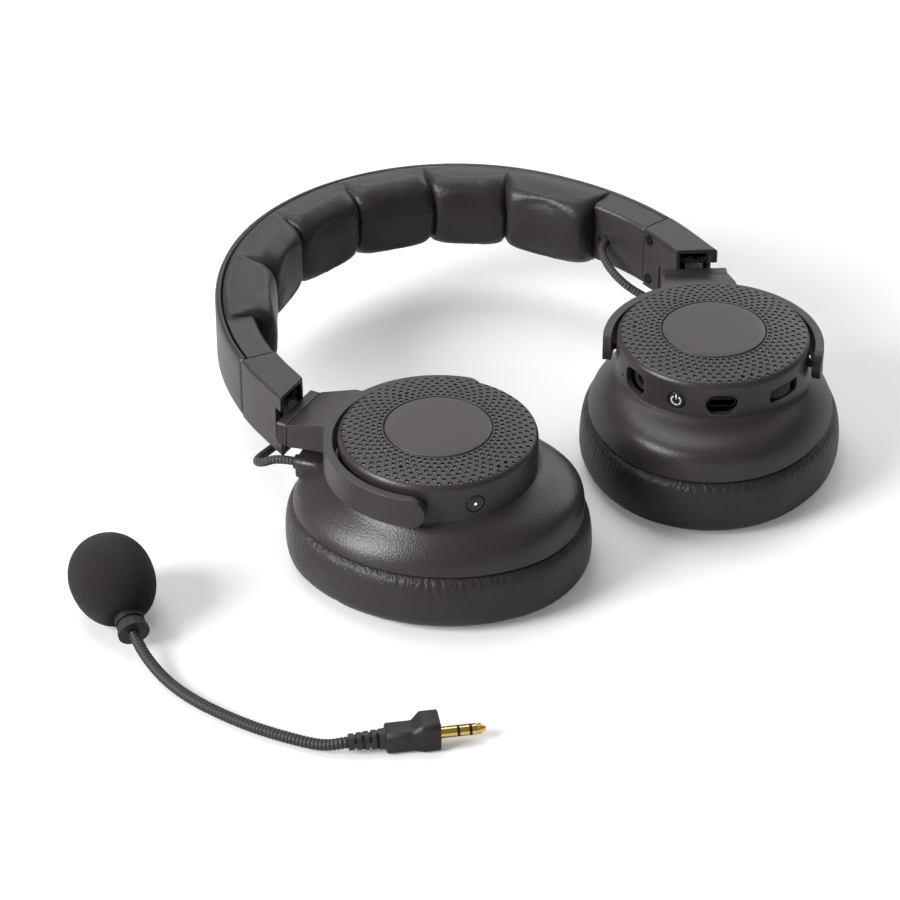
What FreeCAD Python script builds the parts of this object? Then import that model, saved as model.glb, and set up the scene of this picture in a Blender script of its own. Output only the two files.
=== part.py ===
import FreeCAD, Part
import os
from math import acos, asin, atan2, cos, degrees, hypot, pi, radians, sin, sqrt, tan

V = FreeCAD.Vector
os.makedirs("parts", exist_ok=True)

# Folding over-ear headset, lying on its ear cushions with both arms folded inward.
# Millimetres. X runs across the band, +Y to the top of the band's arch, Z = 0 is the table.
# Everything is drawn for the +X side, the wearer's left, and mirrored for the right.

# Fits
RUN_GAP = 0.05          # radial, a shaft that turns or slides in its hole
SEAT_GAP = 0.1          # between pieces of one body that are fixed together
MOVE_GAP = 0.3          # between pieces that move past each other

# Headband arch, seen from above
BAND_MID_Z = 36.75
BAND_HEIGHT = 22.5
TOP_R = 80.4            # outer radius over the top
TOP_HALF_ANGLE = 53.0   # from the top to where the flatter sides start
SIDE_R = 106.7
SHELL_T = 2.5
BAND_T = 12.2           # shell and end cover together
BAND_EDGE_R = 1.0
SEAM_HEADING = 83.5     # where the slider leaves the band
COVER_HEADING = 69.5    # where the pad ends and the end cover starts
SEAM_GAP = 0.25

# Spring strip inside the band
SPRING_T = 0.8
SPRING_HEIGHT = 14.0
SPRING_HEADING = 74.0
SPRING_WALL = 1.5       # shell left outside it

# Headband pad
PAD_LOBES = 6
PAD_BACK_HALF = 10.6
PAD_GROOVE_HALF = 11.3
PAD_LOBE_HALF = 12.9
PAD_GROOVE_DEPTH = 17.6
PAD_LOBE_DEPTH = 19.4
PAD_CORNER = 5.5
PAD_STATIONS = 6        # sections along one lobe

# Slider strip, its travel and pocket
SLIDE_TRAVEL = 18.0
STRIP_T = 1.2
STRIP_HEIGHT = 12.0
STRIP_IN_BAND = 23.5
STRIP_IN_HOUSING = 10.0
STRIP_OFFSET = 8.0      # its middle, inward from the outer face at the seam

# Hinge housing
HOUSING_LENGTH = 26.55  # from the seam down to the tip of its outer wall
HOUSING_WALL = 2.0
HOUSING_LID = 1.5       # upper and lower walls
COVER_PLATE_T = 1.0
COVER_SLOT = (0.8, 9.0)
SCREW_R = 0.9
SCREW_HEAD_R = 1.9
SCREW_HEAD_H = 0.75
SCREW_LENGTH = 5.0
SCREW_Z = 7.7           # above and below the middle
SCREW_FROM_SEAM = 3.0
BRACKET_RECESS = 1.0
LUG_T = 1.8

# Fold hinge
FOLD_INSET = 5.65       # its pin, in from the band's outer face
FOLD_UP = 5.8           # and up from the housing's tip
FOLD_REST = 29.2        # inward from straight, as it lies
PIN_R = 1.25
PIN_HEAD_R = 2.2
PIN_HEAD_H = 0.9
BARREL_R = 3.3
ARM_WIDTH = 22.0
ARM_HEIGHT = 11.3
ARM_ROUND = 0.8

# Swivel
BOLT_R = 2.4
BOLT_HEAD_R = 3.5
BOLT_HEAD_H = 2.0
BOLT_HEAD_CLEAR = 6.9   # from its head to the yoke's half ring
BOLT_START = 1.9

# Yoke
ARM_CLEAR = 8.3         # from the fold pin to the ear cup's end
EAR_LEAN = 13.0         # the ear cup leans this much from the arm
STRAP_GAP = 1.7         # between the half ring and the drum
STRAP_T = 2.9
STRAP_LOW_Z = 35.2
STRAP_HIGH_Z = 45.4
ARM_FLARE = 27.0        # arm's width where it meets the strap
PIVOT_OFFSET = 0.5      # tilt axis, past the middle of the cup
PIVOT_R = 1.5
PIVOT_BITE = 5.5
PIVOT_BOSS_R = 3.4

# Ear cup shell: long and short half axes at the seam, and the round drum above
SEAM_Z = 20.5
OVAL_A = 46.7
OVAL_B = 40.35
OVAL_K = 0.6            # how round its ends are
DRUM_R = 31.5
DRUM_Z = 34.6
CUP_TOP_Z = 49.4        # beside the centre disc, where the domed top is highest
CROWN_R = 250.0
CUP_EDGE_R = 2.2
CUP_WALL = 2.0
BELL_EASE = 1.25        # how late the drum starts to flare
BELL_FULL = 3.7         # how much sooner it flares at the end away from the hinge
BELL_STATIONS = 13
BELL_CROWD = 1.4        # crowds the sections toward the drum, where it curves most

# Centre disc
DISC_R = 16.9
DISC_T = 1.2
DISC_PROUD = 0.3
DISC_GROOVE = 0.35

# Ear cushion: how far it stands out from the seam's oval at each height
CUSHION_OUT = ((20.2, 0.0), (18.4, 1.3), (13.5, 2.2), (7.5, 2.3), (3.4, 1.3), (1.1, -1.4), (-0.1, -5.4), (-0.5, -9.5))
CUSHION_IN = ((-0.5, -9.5), (0.2, -13.8), (2.2, -16.6), (6.0, -18.2), (11.0, -18.6), (15.5, -18.0), (19.0, -17.2))
CUSHION_STATIONS = 15
RING_T = 1.5
RING_INSET = 1.5
RING_HOLE_INSET = 15.0
SCRIM_T = 0.5

# Inside the cup
BAFFLE_T = 2.0
BAFFLE_INSET = 3.0
DRIVER_CLEAR = 11.5     # from the drum's outer face
DRIVER_H = 4.0
MAGNET_R = 11.0
MAGNET_H = 5.0
POST_R = 1.5
POST_CLEAR = 9.0
POST_ANGLE = 28.0
BOARD_Z = 33.6
BOARD_T = 1.6
BOARD_CLEAR = 6.5
BATTERY = (43.0, 25.0, 6.0)

# Controls and ports, by their angle round the cup from its long axis
PORT_Z = 40.3
JACK_ANGLE = 132.7
JACK_PORT = (9.5, 8.2, 3.0)
JACK_BORE_R = 1.8
JACK_DEPTH = 15.0
JACK_BODY_R = 3.8
JACK_SINK = 2.9
POWER_ANGLE = 164.2
MUTE_ANGLE = 233.0
BUTTON_R = 2.85
BUTTON_FLANGE_R = 3.7
BUTTON_TRAVEL = 0.6
BUTTON_LENGTH = 4.2
BUTTON_GAP = 0.2
USB_ANGLE = 191.7
USB_PORT = (10.2, 6.8)
USB_SHELL = (9.0, 3.3, 7.3)
USB_WALL = 0.35
USB_TONGUE = (6.6, 0.7, 5.0)
WHEEL_ANGLE = 233.7
WHEEL_R = 7.6
WHEEL_T = 3.6
WHEEL_WINDOW = (12.6, 4.6)
WHEEL_RIBS = 36
WHEEL_SHAFT_R = 1.0
SWITCH = (6.0, 5.0)

# Leads between the band and the cups, as they lie on the wearer's left. X and Y are from the fold pin.
LEAD_R = 1.4
LEAD_HOLE = (72.2, 35.4)        # heading and height of the hole in the end cover
LEAD_ROUTE = (
    (-13.85, 35.5, 34.8), (-16.25, 28.9, 32.2), (-15.25, 20.5, 28.4), (-10.65, 12.7, 24.6),
    (-3.45, 7.7, 22.0), (4.35, 5.9, 20.7), (10.85, 2.7, 21.2), (11.95, -2.9, 23.8),
)
LEAD_STRAIGHT = 6.0     # its last run, square to the strain relief
LEAD_HOLE_R = 2.1
LEAD_SINK = 1.2         # how far it starts inside the end cover's hole
ENTRY_ANGLE = 3.0       # round the cup from its long axis
ENTRY_OUT = 1.5         # the lead's end, out from the cup's seam
ENTRY_Z = 26.0
BOSS_WIDTH = 9.0
BOSS_HEIGHT = 7.4
BOSS_LENGTH = 12.0
RELIEF_R = 2.4
RELIEF_NECK_R = 1.9
RELIEF_OUT = 1.5
RELIEF_IN = 2.6

# Boom microphone, taken out and lying on the table
BOOM_LIFT = 150.0
PLUG_AZIMUTH = -23.0
PLUG_POINT = (-119.1, -147.1)   # where the boot meets the plug body
PLUG_MID_Z = 3.9
PLUG_SIZE = (16.2, 8.0, 7.8)
PLUG_ROUND = 1.6
KEY_SIZE = (6.4, 9.4, 1.6)      # length, width and rise of the keyed collar
PIN_LENGTH = 14.0
CONTACT_R = 1.75
CONTACTS = (5.3, 2.9, 4.2)      # sleeve, ring and tip
INSULATOR_T = 0.8
BOOT_LENGTH = 11.0
BOOT_R0 = 3.2
BOOT_R1 = 2.5
BOOT_GROOVES = 4
NECK_R = 1.8
NECK_BORE_R = 0.9
NECK_RIB = 0.25
NECK_PITCH = 1.2
NECK_ROUTE = (
    (-133.4, -140.3, 3.1), (-140.3, -132.3, 2.3), (-147.4, -121.0, 2.1), (-153.6, -108.0, 2.1),
    (-158.0, -94.5, 2.2), (-160.0, -80.5, 3.2),
)
MIC_AZIMUTH = 77.0
MIC_RISE = 14.0                 # the capsule housing climbs to the foam, degrees
MIC_POINT = (-159.3, -65.4, 7.0)
MIC_NECK = (4.6, 8.0)
MIC_FLANGE = (5.0, 1.2)
CAPSULE = (3.0, 9.0)
CAPSULE_WALL = 0.8
FOAM_CENTRE = (-155.4, -44.8)
FOAM_R = 13.3
FOAM_HALF = 17.2
FOAM_SINK = 0.5


def box(x0, x1, y0, y1, z0, z1):
    return Part.makeBox(x1 - x0, y1 - y0, z1 - z0, V(x0, y0, z0))


def rod(radius, start, end):
    way = end - start
    return Part.makeCylinder(radius, way.Length, start, way)


def turned(shape, angle, centre=V(0, 0, 0), axis=V(0, 0, 1)):
    out = shape.copy()
    out.rotate(centre, axis, angle)
    return out


def moved(shape, way):
    out = shape.copy()
    out.translate(way)
    return out


def mirrored(shape):
    return shape.mirror(V(0, 0, 0), V(1, 0, 0))


def rounded_box(length, width, height, radius):
    """A bar along X, centred on Y and Z, with its long edges rounded."""
    bar = box(0, length, -width / 2, width / 2, -height / 2, height / 2)
    along = [e for e in bar.Edges if abs(e.tangentAt(e.FirstParameter).x) > 0.9]
    return bar.makeFillet(radius, along)


# The arch: a top arc, two flatter side arcs, and straight ends below a heading of 90 degrees

TOP_TURN = radians(TOP_HALF_ANGLE)
SIDE_X = (TOP_R - SIDE_R) * sin(TOP_TURN)
SIDE_Y = (TOP_R - SIDE_R) * cos(TOP_TURN)
BAND_X = SIDE_X + SIDE_R
BAND_LOW_Z = BAND_MID_Z - BAND_HEIGHT / 2
BAND_HIGH_Z = BAND_MID_Z + BAND_HEIGHT / 2


def arch_point(heading, inset, z=0.0):
    """A point of the arch, 0 at its top and 90 where the side runs along -Y."""
    side = 1 if heading >= 0 else -1
    turn = radians(abs(heading))
    if turn <= TOP_TURN:
        return V(side * (TOP_R - inset) * sin(turn), (TOP_R - inset) * cos(turn), z)
    return V(side * (SIDE_X + (SIDE_R - inset) * sin(turn)), SIDE_Y + (SIDE_R - inset) * cos(turn), z)


def arch_edges(inset, start, end, low_y=None):
    """Arcs of the arch from one heading to another, with a straight end down to low_y."""
    stops = [start] + [h for h in (-TOP_HALF_ANGLE, TOP_HALF_ANGLE) if start < h < end] + [end]
    edges = []
    for a, b in zip(stops, stops[1:]):
        points = [arch_point(h, inset) for h in (a, (a + b) / 2, b)]
        edges.append(Part.Arc(*points).toShape())
    if low_y is not None:
        last = arch_point(end, inset)
        edges.append(Part.LineSegment(last, V(last.x, low_y, 0)).toShape())
    return edges


def arch_solid(outer, inner, low_z, high_z, start, end, low_y=None):
    out_edges = arch_edges(outer, start, end, low_y)
    in_edges = arch_edges(inner, start, end, low_y)
    a0, a1 = out_edges[0].firstVertex().Point, out_edges[-1].lastVertex().Point
    b0, b1 = in_edges[0].firstVertex().Point, in_edges[-1].lastVertex().Point
    ends = [Part.LineSegment(a1, b1).toShape(), Part.LineSegment(b0, a0).toShape()]
    wire = Part.Wire(Part.__sortEdges__(out_edges + in_edges + ends))
    return moved(Part.Face(wire), V(0, 0, low_z)).extrude(V(0, 0, high_z - low_z))


# The seam: the slider leaves the band along the arch's own direction there

SEAM_POINT = arch_point(SEAM_HEADING, 0)
SLIDE_TILT = 90.0 - SEAM_HEADING
SLIDE_WAY = V(sin(radians(SLIDE_TILT)), -cos(radians(SLIDE_TILT)), 0)
HOUSING_END_Y = SEAM_POINT.y - HOUSING_LENGTH
FOLD_X = BAND_X - FOLD_INSET
FOLD_Y = HOUSING_END_Y + FOLD_UP


def at_seam(shape):
    """From a frame with -Y along the slide and +X outward, its origin on the outer face at the seam."""
    return moved(turned(shape, SLIDE_TILT), SEAM_POINT)


FAR = 200.0
SIDE_HALF = BAND_X / 2  # a box this wide each way meets one side of the band only
BELOW_SEAM = at_seam(box(-SIDE_HALF, SIDE_HALF, -FAR, 0, -FAR, FAR))
BELOW_GAP = at_seam(box(-SIDE_HALF, SIDE_HALF, -SEAM_GAP, FAR, -FAR, FAR))


def inset_at(point):
    """How far in from the arch's outer face a point lies."""
    x = abs(point.x)
    if point.y < SIDE_Y:
        return BAND_X - x
    if atan2(x, point.y) < TOP_TURN:
        return TOP_R - hypot(x, point.y)
    return SIDE_R - hypot(x - SIDE_X, point.y - SIDE_Y)


def long_edges(shape, insets):
    """Edges along a band piece, on its upper and lower faces, at these distances in from the outer face."""
    found = []
    for edge in shape.Edges:
        ends = [v.Point for v in edge.Vertexes]
        flat = max(abs(p.z - ends[0].z) for p in ends) < 1e-6
        level = min(abs(ends[0].z - BAND_LOW_Z), abs(ends[0].z - BAND_HIGH_Z)) < 1e-6
        if flat and level and any(all(abs(inset_at(p) - inset) < 1e-4 for p in ends) for inset in insets):
            found.append(edge)
    return found


def make_headband():
    reach = SEAM_HEADING + 2
    shell = arch_solid(0, SHELL_T, BAND_LOW_Z, BAND_HIGH_Z, -reach, reach)
    spring_half = SPRING_HEIGHT / 2
    pocket = arch_solid(SPRING_WALL, SHELL_T + 1, BAND_MID_Z - spring_half - SEAT_GAP,
                        BAND_MID_Z + spring_half + SEAT_GAP, -SPRING_HEADING - 0.2, SPRING_HEADING + 0.2)
    shell = shell.cut([BELOW_SEAM, mirrored(BELOW_SEAM)])
    shell = shell.makeFillet(BAND_EDGE_R, long_edges(shell, (0, SHELL_T))).cut(pocket)
    spring = arch_solid(SPRING_WALL + SEAT_GAP, SPRING_WALL + SEAT_GAP + SPRING_T, BAND_MID_Z - spring_half,
                        BAND_MID_Z + spring_half, -SPRING_HEADING, SPRING_HEADING)
    return {"headband_shell": shell, "headband_spring": spring, "headband_pad": make_pad()}


def pad_section(heading, fullness):
    """One section across the pad; fullness is 0 in a groove and 1 at the middle of a lobe."""
    half = PAD_GROOVE_HALF + (PAD_LOBE_HALF - PAD_GROOVE_HALF) * fullness
    depth = PAD_GROOVE_DEPTH + (PAD_LOBE_DEPTH - PAD_GROOVE_DEPTH) * fullness
    back = SHELL_T + SEAT_GAP
    edge = depth - PAD_CORNER

    def at(inset, up):
        return arch_point(heading, inset, BAND_MID_Z + up)

    shoulder = half - 0.9
    front = half - PAD_CORNER
    corner = (edge + PAD_CORNER * 0.62, front + PAD_CORNER * 0.52)
    loop = [
        Part.LineSegment(at(back, PAD_BACK_HALF), at(back, -PAD_BACK_HALF)),
        Part.Arc(at(back, -PAD_BACK_HALF), at((back + edge) * 0.5, -half), at(edge, -shoulder)),
        Part.Arc(at(edge, -shoulder), at(corner[0], -corner[1]), at(depth - 0.7, -front)),
        Part.Arc(at(depth - 0.7, -front), at(depth, 0), at(depth - 0.7, front)),
        Part.Arc(at(depth - 0.7, front), at(corner[0], corner[1]), at(edge, shoulder)),
        Part.Arc(at(edge, shoulder), at((back + edge) * 0.5, half), at(back, PAD_BACK_HALF)),
    ]
    return Part.Wire([piece.toShape() for piece in loop])


def make_pad():
    reach = COVER_HEADING - degrees(SEAT_GAP / SIDE_R)
    count = PAD_LOBES * PAD_STATIONS
    sections = []
    for i in range(count + 1):
        across = (i % PAD_STATIONS) / PAD_STATIONS
        sections.append(pad_section(-reach + 2 * reach * i / count, sin(pi * across) ** 0.5))
    return Part.makeLoft(sections, True, True)


def route_point(point):
    x, y, z = point
    return V(FOLD_X + x, FOLD_Y + y, z)


def hole_frame():
    """Where the lead leaves the end cover, and the way it points there."""
    heading, height = LEAD_HOLE
    mouth = arch_point(heading, BAND_T - SEAT_GAP, height)
    return mouth, (route_point(LEAD_ROUTE[0]) - mouth).normalize()


def make_end_cover():
    low, high = BAND_LOW_Z, BAND_HIGH_Z
    cover = arch_solid(SHELL_T + SEAT_GAP, BAND_T, low, high, COVER_HEADING, SEAM_HEADING + 2).cut(BELOW_SEAM)
    cover = cover.makeFillet(BAND_EDGE_R * 2, long_edges(cover, (BAND_T,)))
    half = STRIP_T / 2 + RUN_GAP
    tall = STRIP_HEIGHT / 2 + RUN_GAP
    pocket = box(-STRIP_OFFSET - half, -STRIP_OFFSET + half, -1, STRIP_IN_BAND + 1, BAND_MID_Z - tall,
                 BAND_MID_Z + tall)
    mouth, way = hole_frame()
    hole = rod(LEAD_HOLE_R, mouth - way * LEAD_SINK, mouth + way * 4)
    return cover.cut([at_seam(pocket), hole])


def make_strip():
    half = STRIP_T / 2
    tall = STRIP_HEIGHT / 2
    strip = box(-STRIP_OFFSET - half, -STRIP_OFFSET + half, -STRIP_IN_HOUSING, STRIP_IN_BAND,
                BAND_MID_Z - tall, BAND_MID_Z + tall)
    return at_seam(strip)


# Fold hinge frame: +X along the folded arm from the pin, +Y to its outer side, Z = 0 at the arm's middle

FOLD_PIN = V(FOLD_X, FOLD_Y, BAND_MID_Z)
STRAP_R = DRUM_R + STRAP_GAP + STRAP_T
ARM_LENGTH = OVAL_A + ARM_CLEAR
BOLT_HEAD_AT = ARM_LENGTH - STRAP_R - BOLT_HEAD_CLEAR
ARM_AZIMUTH = -90.0 - FOLD_REST
ARM_WAY = V(cos(radians(ARM_AZIMUTH)), sin(radians(ARM_AZIMUTH)), 0)
TIP_DROP = FOLD_Y - HOUSING_END_Y
END_FROM_PIN = TIP_DROP * cos(radians(FOLD_REST)) - (BAND_X - FOLD_X) * sin(radians(FOLD_REST))
COLLAR_START = END_FROM_PIN + MOVE_GAP
ARM_START = TIP_DROP + MOVE_GAP + 0.1
COLLAR_END = ARM_START - MOVE_GAP / 2


def at_hinge(shape):
    return moved(turned(shape, ARM_AZIMUTH), FOLD_PIN)


def housing_end(recess=0.0):
    """All that lies past the slanted end of the housing, which the folded arm meets squarely."""
    return at_hinge(box(END_FROM_PIN - recess, FAR, -FAR, FAR, -FAR, FAR))


def make_housing():
    low, high = BAND_LOW_Z, BAND_HIGH_Z
    below = HOUSING_END_Y - 5
    body = arch_solid(0, BAND_T, low, high, SEAM_HEADING - 2, 90, below)
    body = body.cut([BELOW_GAP, housing_end()])
    body = body.makeFillet(BAND_EDGE_R, long_edges(body, (0,)))
    inside = arch_solid(HOUSING_WALL, BAND_T + 1, low + HOUSING_LID, high - HOUSING_LID, SEAM_HEADING - 3, 90,
                        below - 1)
    half = ARM_HEIGHT / 2 + MOVE_GAP
    swing = box(FOLD_X, BAND_X + 1, below, FOLD_Y - COLLAR_START + MOVE_GAP, BAND_MID_Z - half, BAND_MID_Z + half)
    return body.cut([inside, swing])


def screw_points():
    """The two cover screws: where their axes cross the inner face, and the way they go in."""
    way = V(cos(radians(SLIDE_TILT)), sin(radians(SLIDE_TILT)), 0)
    start = SEAM_POINT + SLIDE_WAY * SCREW_FROM_SEAM - way * (BAND_T - 0.05)
    return [start + V(0, 0, BAND_MID_Z + up) for up in (-SCREW_Z, SCREW_Z)], way


def make_cover_plate():
    gap = SEAT_GAP
    plate = arch_solid(BAND_T - COVER_PLATE_T, BAND_T, BAND_LOW_Z + HOUSING_LID + gap, BAND_HIGH_Z - HOUSING_LID - gap,
                       SEAM_HEADING - 2, 90, HOUSING_END_Y - 5)
    plate = plate.cut([BELOW_GAP, housing_end()])
    points, way = screw_points()
    sinks = [Part.makeCone(SCREW_HEAD_R + SEAT_GAP, SCREW_R + SEAT_GAP, SCREW_HEAD_H, p, way) for p in points]
    holes = [rod(SCREW_R + SEAT_GAP, p, p + way * SCREW_LENGTH) for p in points]
    wide, tall = COVER_SLOT
    inner = BAND_X - BAND_T
    slot = box(inner - 2, inner + COVER_PLATE_T / 2, FOLD_Y + 10, FOLD_Y + 10 + wide, BAND_MID_Z - tall,
               BAND_MID_Z)
    return plate.cut(sinks + holes + [slot])


def make_screws():
    points, way = screw_points()
    screws = []
    for p in points:
        head = Part.makeCone(SCREW_HEAD_R, SCREW_R, SCREW_HEAD_H, p, way)
        driver = rod(SCREW_R * 0.55, p - way, p + way * (SCREW_HEAD_H * 0.6))
        screws.append(head.fuse(rod(SCREW_R, p, p + way * SCREW_LENGTH)).cut(driver))
    return Part.makeCompound(screws)


def make_bracket():
    gap = SEAT_GAP
    low = BAND_LOW_Z + HOUSING_LID + gap
    lug_high = BAND_MID_Z + ARM_HEIGHT / 2 + MOVE_GAP / 2 + LUG_T
    block = arch_solid(HOUSING_WALL + gap, BAND_T - COVER_PLATE_T - gap, low, BAND_HIGH_Z - HOUSING_LID - gap,
                       SEAM_HEADING - 2, 90, HOUSING_END_Y - 5)
    block = block.cut([at_seam(box(-SIDE_HALF, SIDE_HALF, -0.6, FAR, -FAR, FAR)), housing_end(BRACKET_RECESS)])
    half = ARM_HEIGHT / 2 + MOVE_GAP / 2
    fork_y = FOLD_Y + BARREL_R + MOVE_GAP
    fork = box(0, FAR, HOUSING_END_Y - 9, fork_y, BAND_MID_Z - half, BAND_MID_Z + half)
    relief = box(0, FAR, HOUSING_END_Y - 9, fork_y, lug_high, FAR)
    strip = make_strip()
    wide = STRIP_T / 2 + gap
    tall = STRIP_HEIGHT / 2 + gap
    slot = at_seam(box(-STRIP_OFFSET - wide, -STRIP_OFFSET + wide, -STRIP_IN_HOUSING - gap, 10, BAND_MID_Z - tall,
                       BAND_MID_Z + tall))
    points, way = screw_points()
    holes = [rod(SCREW_R + SEAT_GAP, p - way, p + way * (SCREW_LENGTH + SEAT_GAP)) for p in points]
    sinks = [Part.makeCone(SCREW_HEAD_R + SEAT_GAP, SCREW_R + SEAT_GAP, SCREW_HEAD_H, p, way) for p in points]
    pin = rod(PIN_R + SEAT_GAP / 4, FOLD_PIN - V(0, 0, FAR), FOLD_PIN + V(0, 0, FAR))
    return block.cut([fork, relief, slot, pin] + holes + sinks), lug_high, strip


def make_slider():
    bracket, lug_high, strip = make_bracket()
    low = BAND_LOW_Z + HOUSING_LID + SEAT_GAP * 2
    base = V(FOLD_X, FOLD_Y, 0)
    pin = rod(PIN_R, base + V(0, 0, low), base + V(0, 0, lug_high + SEAT_GAP))
    head = rod(PIN_HEAD_R, base + V(0, 0, lug_high + SEAT_GAP / 2), base + V(0, 0, lug_high + PIN_HEAD_H))
    head = head.cut(rod(PIN_HEAD_R * 0.45, base + V(0, 0, lug_high + PIN_HEAD_H * 0.5), base + V(0, 0, FAR)))
    return {
        "slider_strip": strip, "hinge_housing": make_housing(), "housing_cover": make_cover_plate(),
        "housing_screws": make_screws(), "hinge_bracket": bracket, "fold_pin": pin.fuse(head),
    }


def make_knuckle():
    half = ARM_HEIGHT / 2
    collar = box(COLLAR_START, COLLAR_END, -ARM_WIDTH / 2, ARM_WIDTH / 2, -half, half)
    corners = [e for e in collar.Edges if abs(e.tangentAt(e.FirstParameter).x) > 0.9]
    collar = collar.makeFillet(ARM_ROUND, corners)
    barrel = rod(BARREL_R, V(0, 0, -half), V(0, 0, half))
    body = collar.fuse(barrel).fuse(box(0, COLLAR_START + 0.1, -BARREL_R * 0.8, BARREL_R * 0.8, -half, half))
    pin = rod(PIN_R + RUN_GAP, V(0, 0, -half - 1), V(0, 0, half + 1))
    bolt = rod(BOLT_R + SEAT_GAP / 4, V(BOLT_START, 0, 0), V(FAR, 0, 0))
    return at_hinge(body.removeSplitter().cut([pin, bolt]))


def make_swivel_bolt():
    shaft = rod(BOLT_R, V(BOLT_START + SEAT_GAP, 0, 0), V(BOLT_HEAD_AT, 0, 0))
    head = rod(BOLT_HEAD_R, V(BOLT_HEAD_AT, 0, 0), V(BOLT_HEAD_AT + BOLT_HEAD_H, 0, 0))
    socket = rod(BOLT_R * 0.5, V(BOLT_HEAD_AT + BOLT_HEAD_H / 2, 0, 0), V(FAR, 0, 0))
    return at_hinge(shaft.fuse(head).cut(socket))


# Cup frame: origin under the middle of the cup, +X along the oval to the hinge end

CUP_CENTRE = V(FOLD_X, FOLD_Y, 0) + ARM_WAY * ARM_LENGTH
CUP_AZIMUTH = ARM_AZIMUTH + 180.0 - EAR_LEAN
PIVOT_Z = (STRAP_LOW_Z + STRAP_HIGH_Z) / 2
BOARD_R = DRUM_R - BOARD_CLEAR
POST_RADIUS = DRUM_R - POST_CLEAR
DRIVER_R = DRUM_R - DRIVER_CLEAR
JACK_FACE_R = DRUM_R - JACK_SINK


def at_cup(shape):
    return moved(turned(shape, CUP_AZIMUTH), CUP_CENTRE)


def oval(half_a, half_b, z):
    """A closed oval of four tangent arcs; the arcs split at the same angle for every size."""
    extra = max(half_a - half_b, 1e-3)
    end_x = (1 + OVAL_K) * extra
    side_y = extra * (1 + 2 * OVAL_K) / (2 * OVAL_K)
    end_r = half_b - OVAL_K * extra
    turn = atan2(side_y, end_x)
    joint = V(end_x + end_r * cos(turn), end_r * sin(turn), z)
    corners = [V(joint.x * sx, joint.y * sy, z) for sx, sy in ((1, -1), (1, 1), (-1, 1), (-1, -1))]
    middles = [V(half_a, 0, z), V(0, half_b, z), V(-half_a, 0, z), V(0, -half_b, z)]
    edges = []
    for i in range(4):
        edges.append(Part.Arc(corners[i], middles[i], corners[(i + 1) % 4]).toShape())
    return Part.Wire(edges)


def oval_at(out, z):
    """The seam's oval, grown by out."""
    return oval(OVAL_A + out, OVAL_B + out, z)


def oval_plate(out, low_z, high_z):
    return Part.Face(oval_at(out, low_z)).extrude(V(0, 0, high_z - low_z))


def crown_z(radius):
    """Height of the cup's domed top at a radius."""
    return CUP_TOP_Z + ((DISC_R + DISC_GROOVE) ** 2 - radius ** 2) / (2 * CROWN_R)


def bell_share(fall):
    """How much of the flare is done at a share of the bell's height, down from the drum."""
    return sin(pi / 2 * fall) ** BELL_EASE


def cup_form(inset, low_z):
    """The cup's form, inset: a domed top on a round drum that flares to the seam's oval, and straight below it."""
    wires = [oval(r, r, crown_z(r) - inset) for r in (DISC_R, (DISC_R + DRUM_R) / 2, DRUM_R - inset)]
    for i in range(BELL_STATIONS):
        fall = (i / (BELL_STATIONS - 1)) ** BELL_CROWD
        near = bell_share(fall)
        far = bell_share(1 - (1 - fall) ** BELL_FULL)
        half_a = DRUM_R + (OVAL_A - DRUM_R) * (near + far) / 2 - inset
        half_b = DRUM_R + (OVAL_B - DRUM_R) * near - inset
        shift = (OVAL_A - DRUM_R) * (far - near) / 2
        wires.append(moved(oval(half_a, half_b, DRUM_Z + (SEAM_Z - DRUM_Z) * fall), V(-shift, 0, 0)))
    if low_z < SEAM_Z:
        wires.append(oval(half_a, half_b, low_z))
    return Part.makeLoft(wires[::-1], True, True)


def rounded_stack(profile):
    """A solid of ovals whose edge follows a smooth curve through the profile's points."""
    curve = Part.BSplineCurve()
    curve.interpolate([V(out, 0, z) for z, out in profile])
    stops = curve.toShape().discretize(Number=CUSHION_STATIONS)
    return Part.makeLoft([oval_at(p.x, p.z) for p in stops], True, True)


def radial(angle, radius, z=PORT_Z):
    return V(radius * cos(radians(angle)), radius * sin(radians(angle)), z)


def at_port(shape, angle):
    """From a frame with +X outward through the drum wall and its origin on the cup's axis."""
    return moved(turned(shape, angle), V(0, 0, PORT_Z))


def stadium_bar(wide, tall, start, end):
    """A bar along X with half round sides."""
    return moved(rounded_box(end - start, wide, tall, tall / 2 - 0.01), V(start, 0, 0))


def at_boss(shape):
    """From a frame with +X into the cup, its origin at the lead's end."""
    return moved(turned(shape, ENTRY_ANGLE + 180), radial(ENTRY_ANGLE, OVAL_A + ENTRY_OUT, ENTRY_Z))


def lead_end(out):
    """The point out from the strain relief's outer face, placed."""
    return at_cup(at_boss(Part.Vertex(V(-out, 0, 0)))).Point


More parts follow.
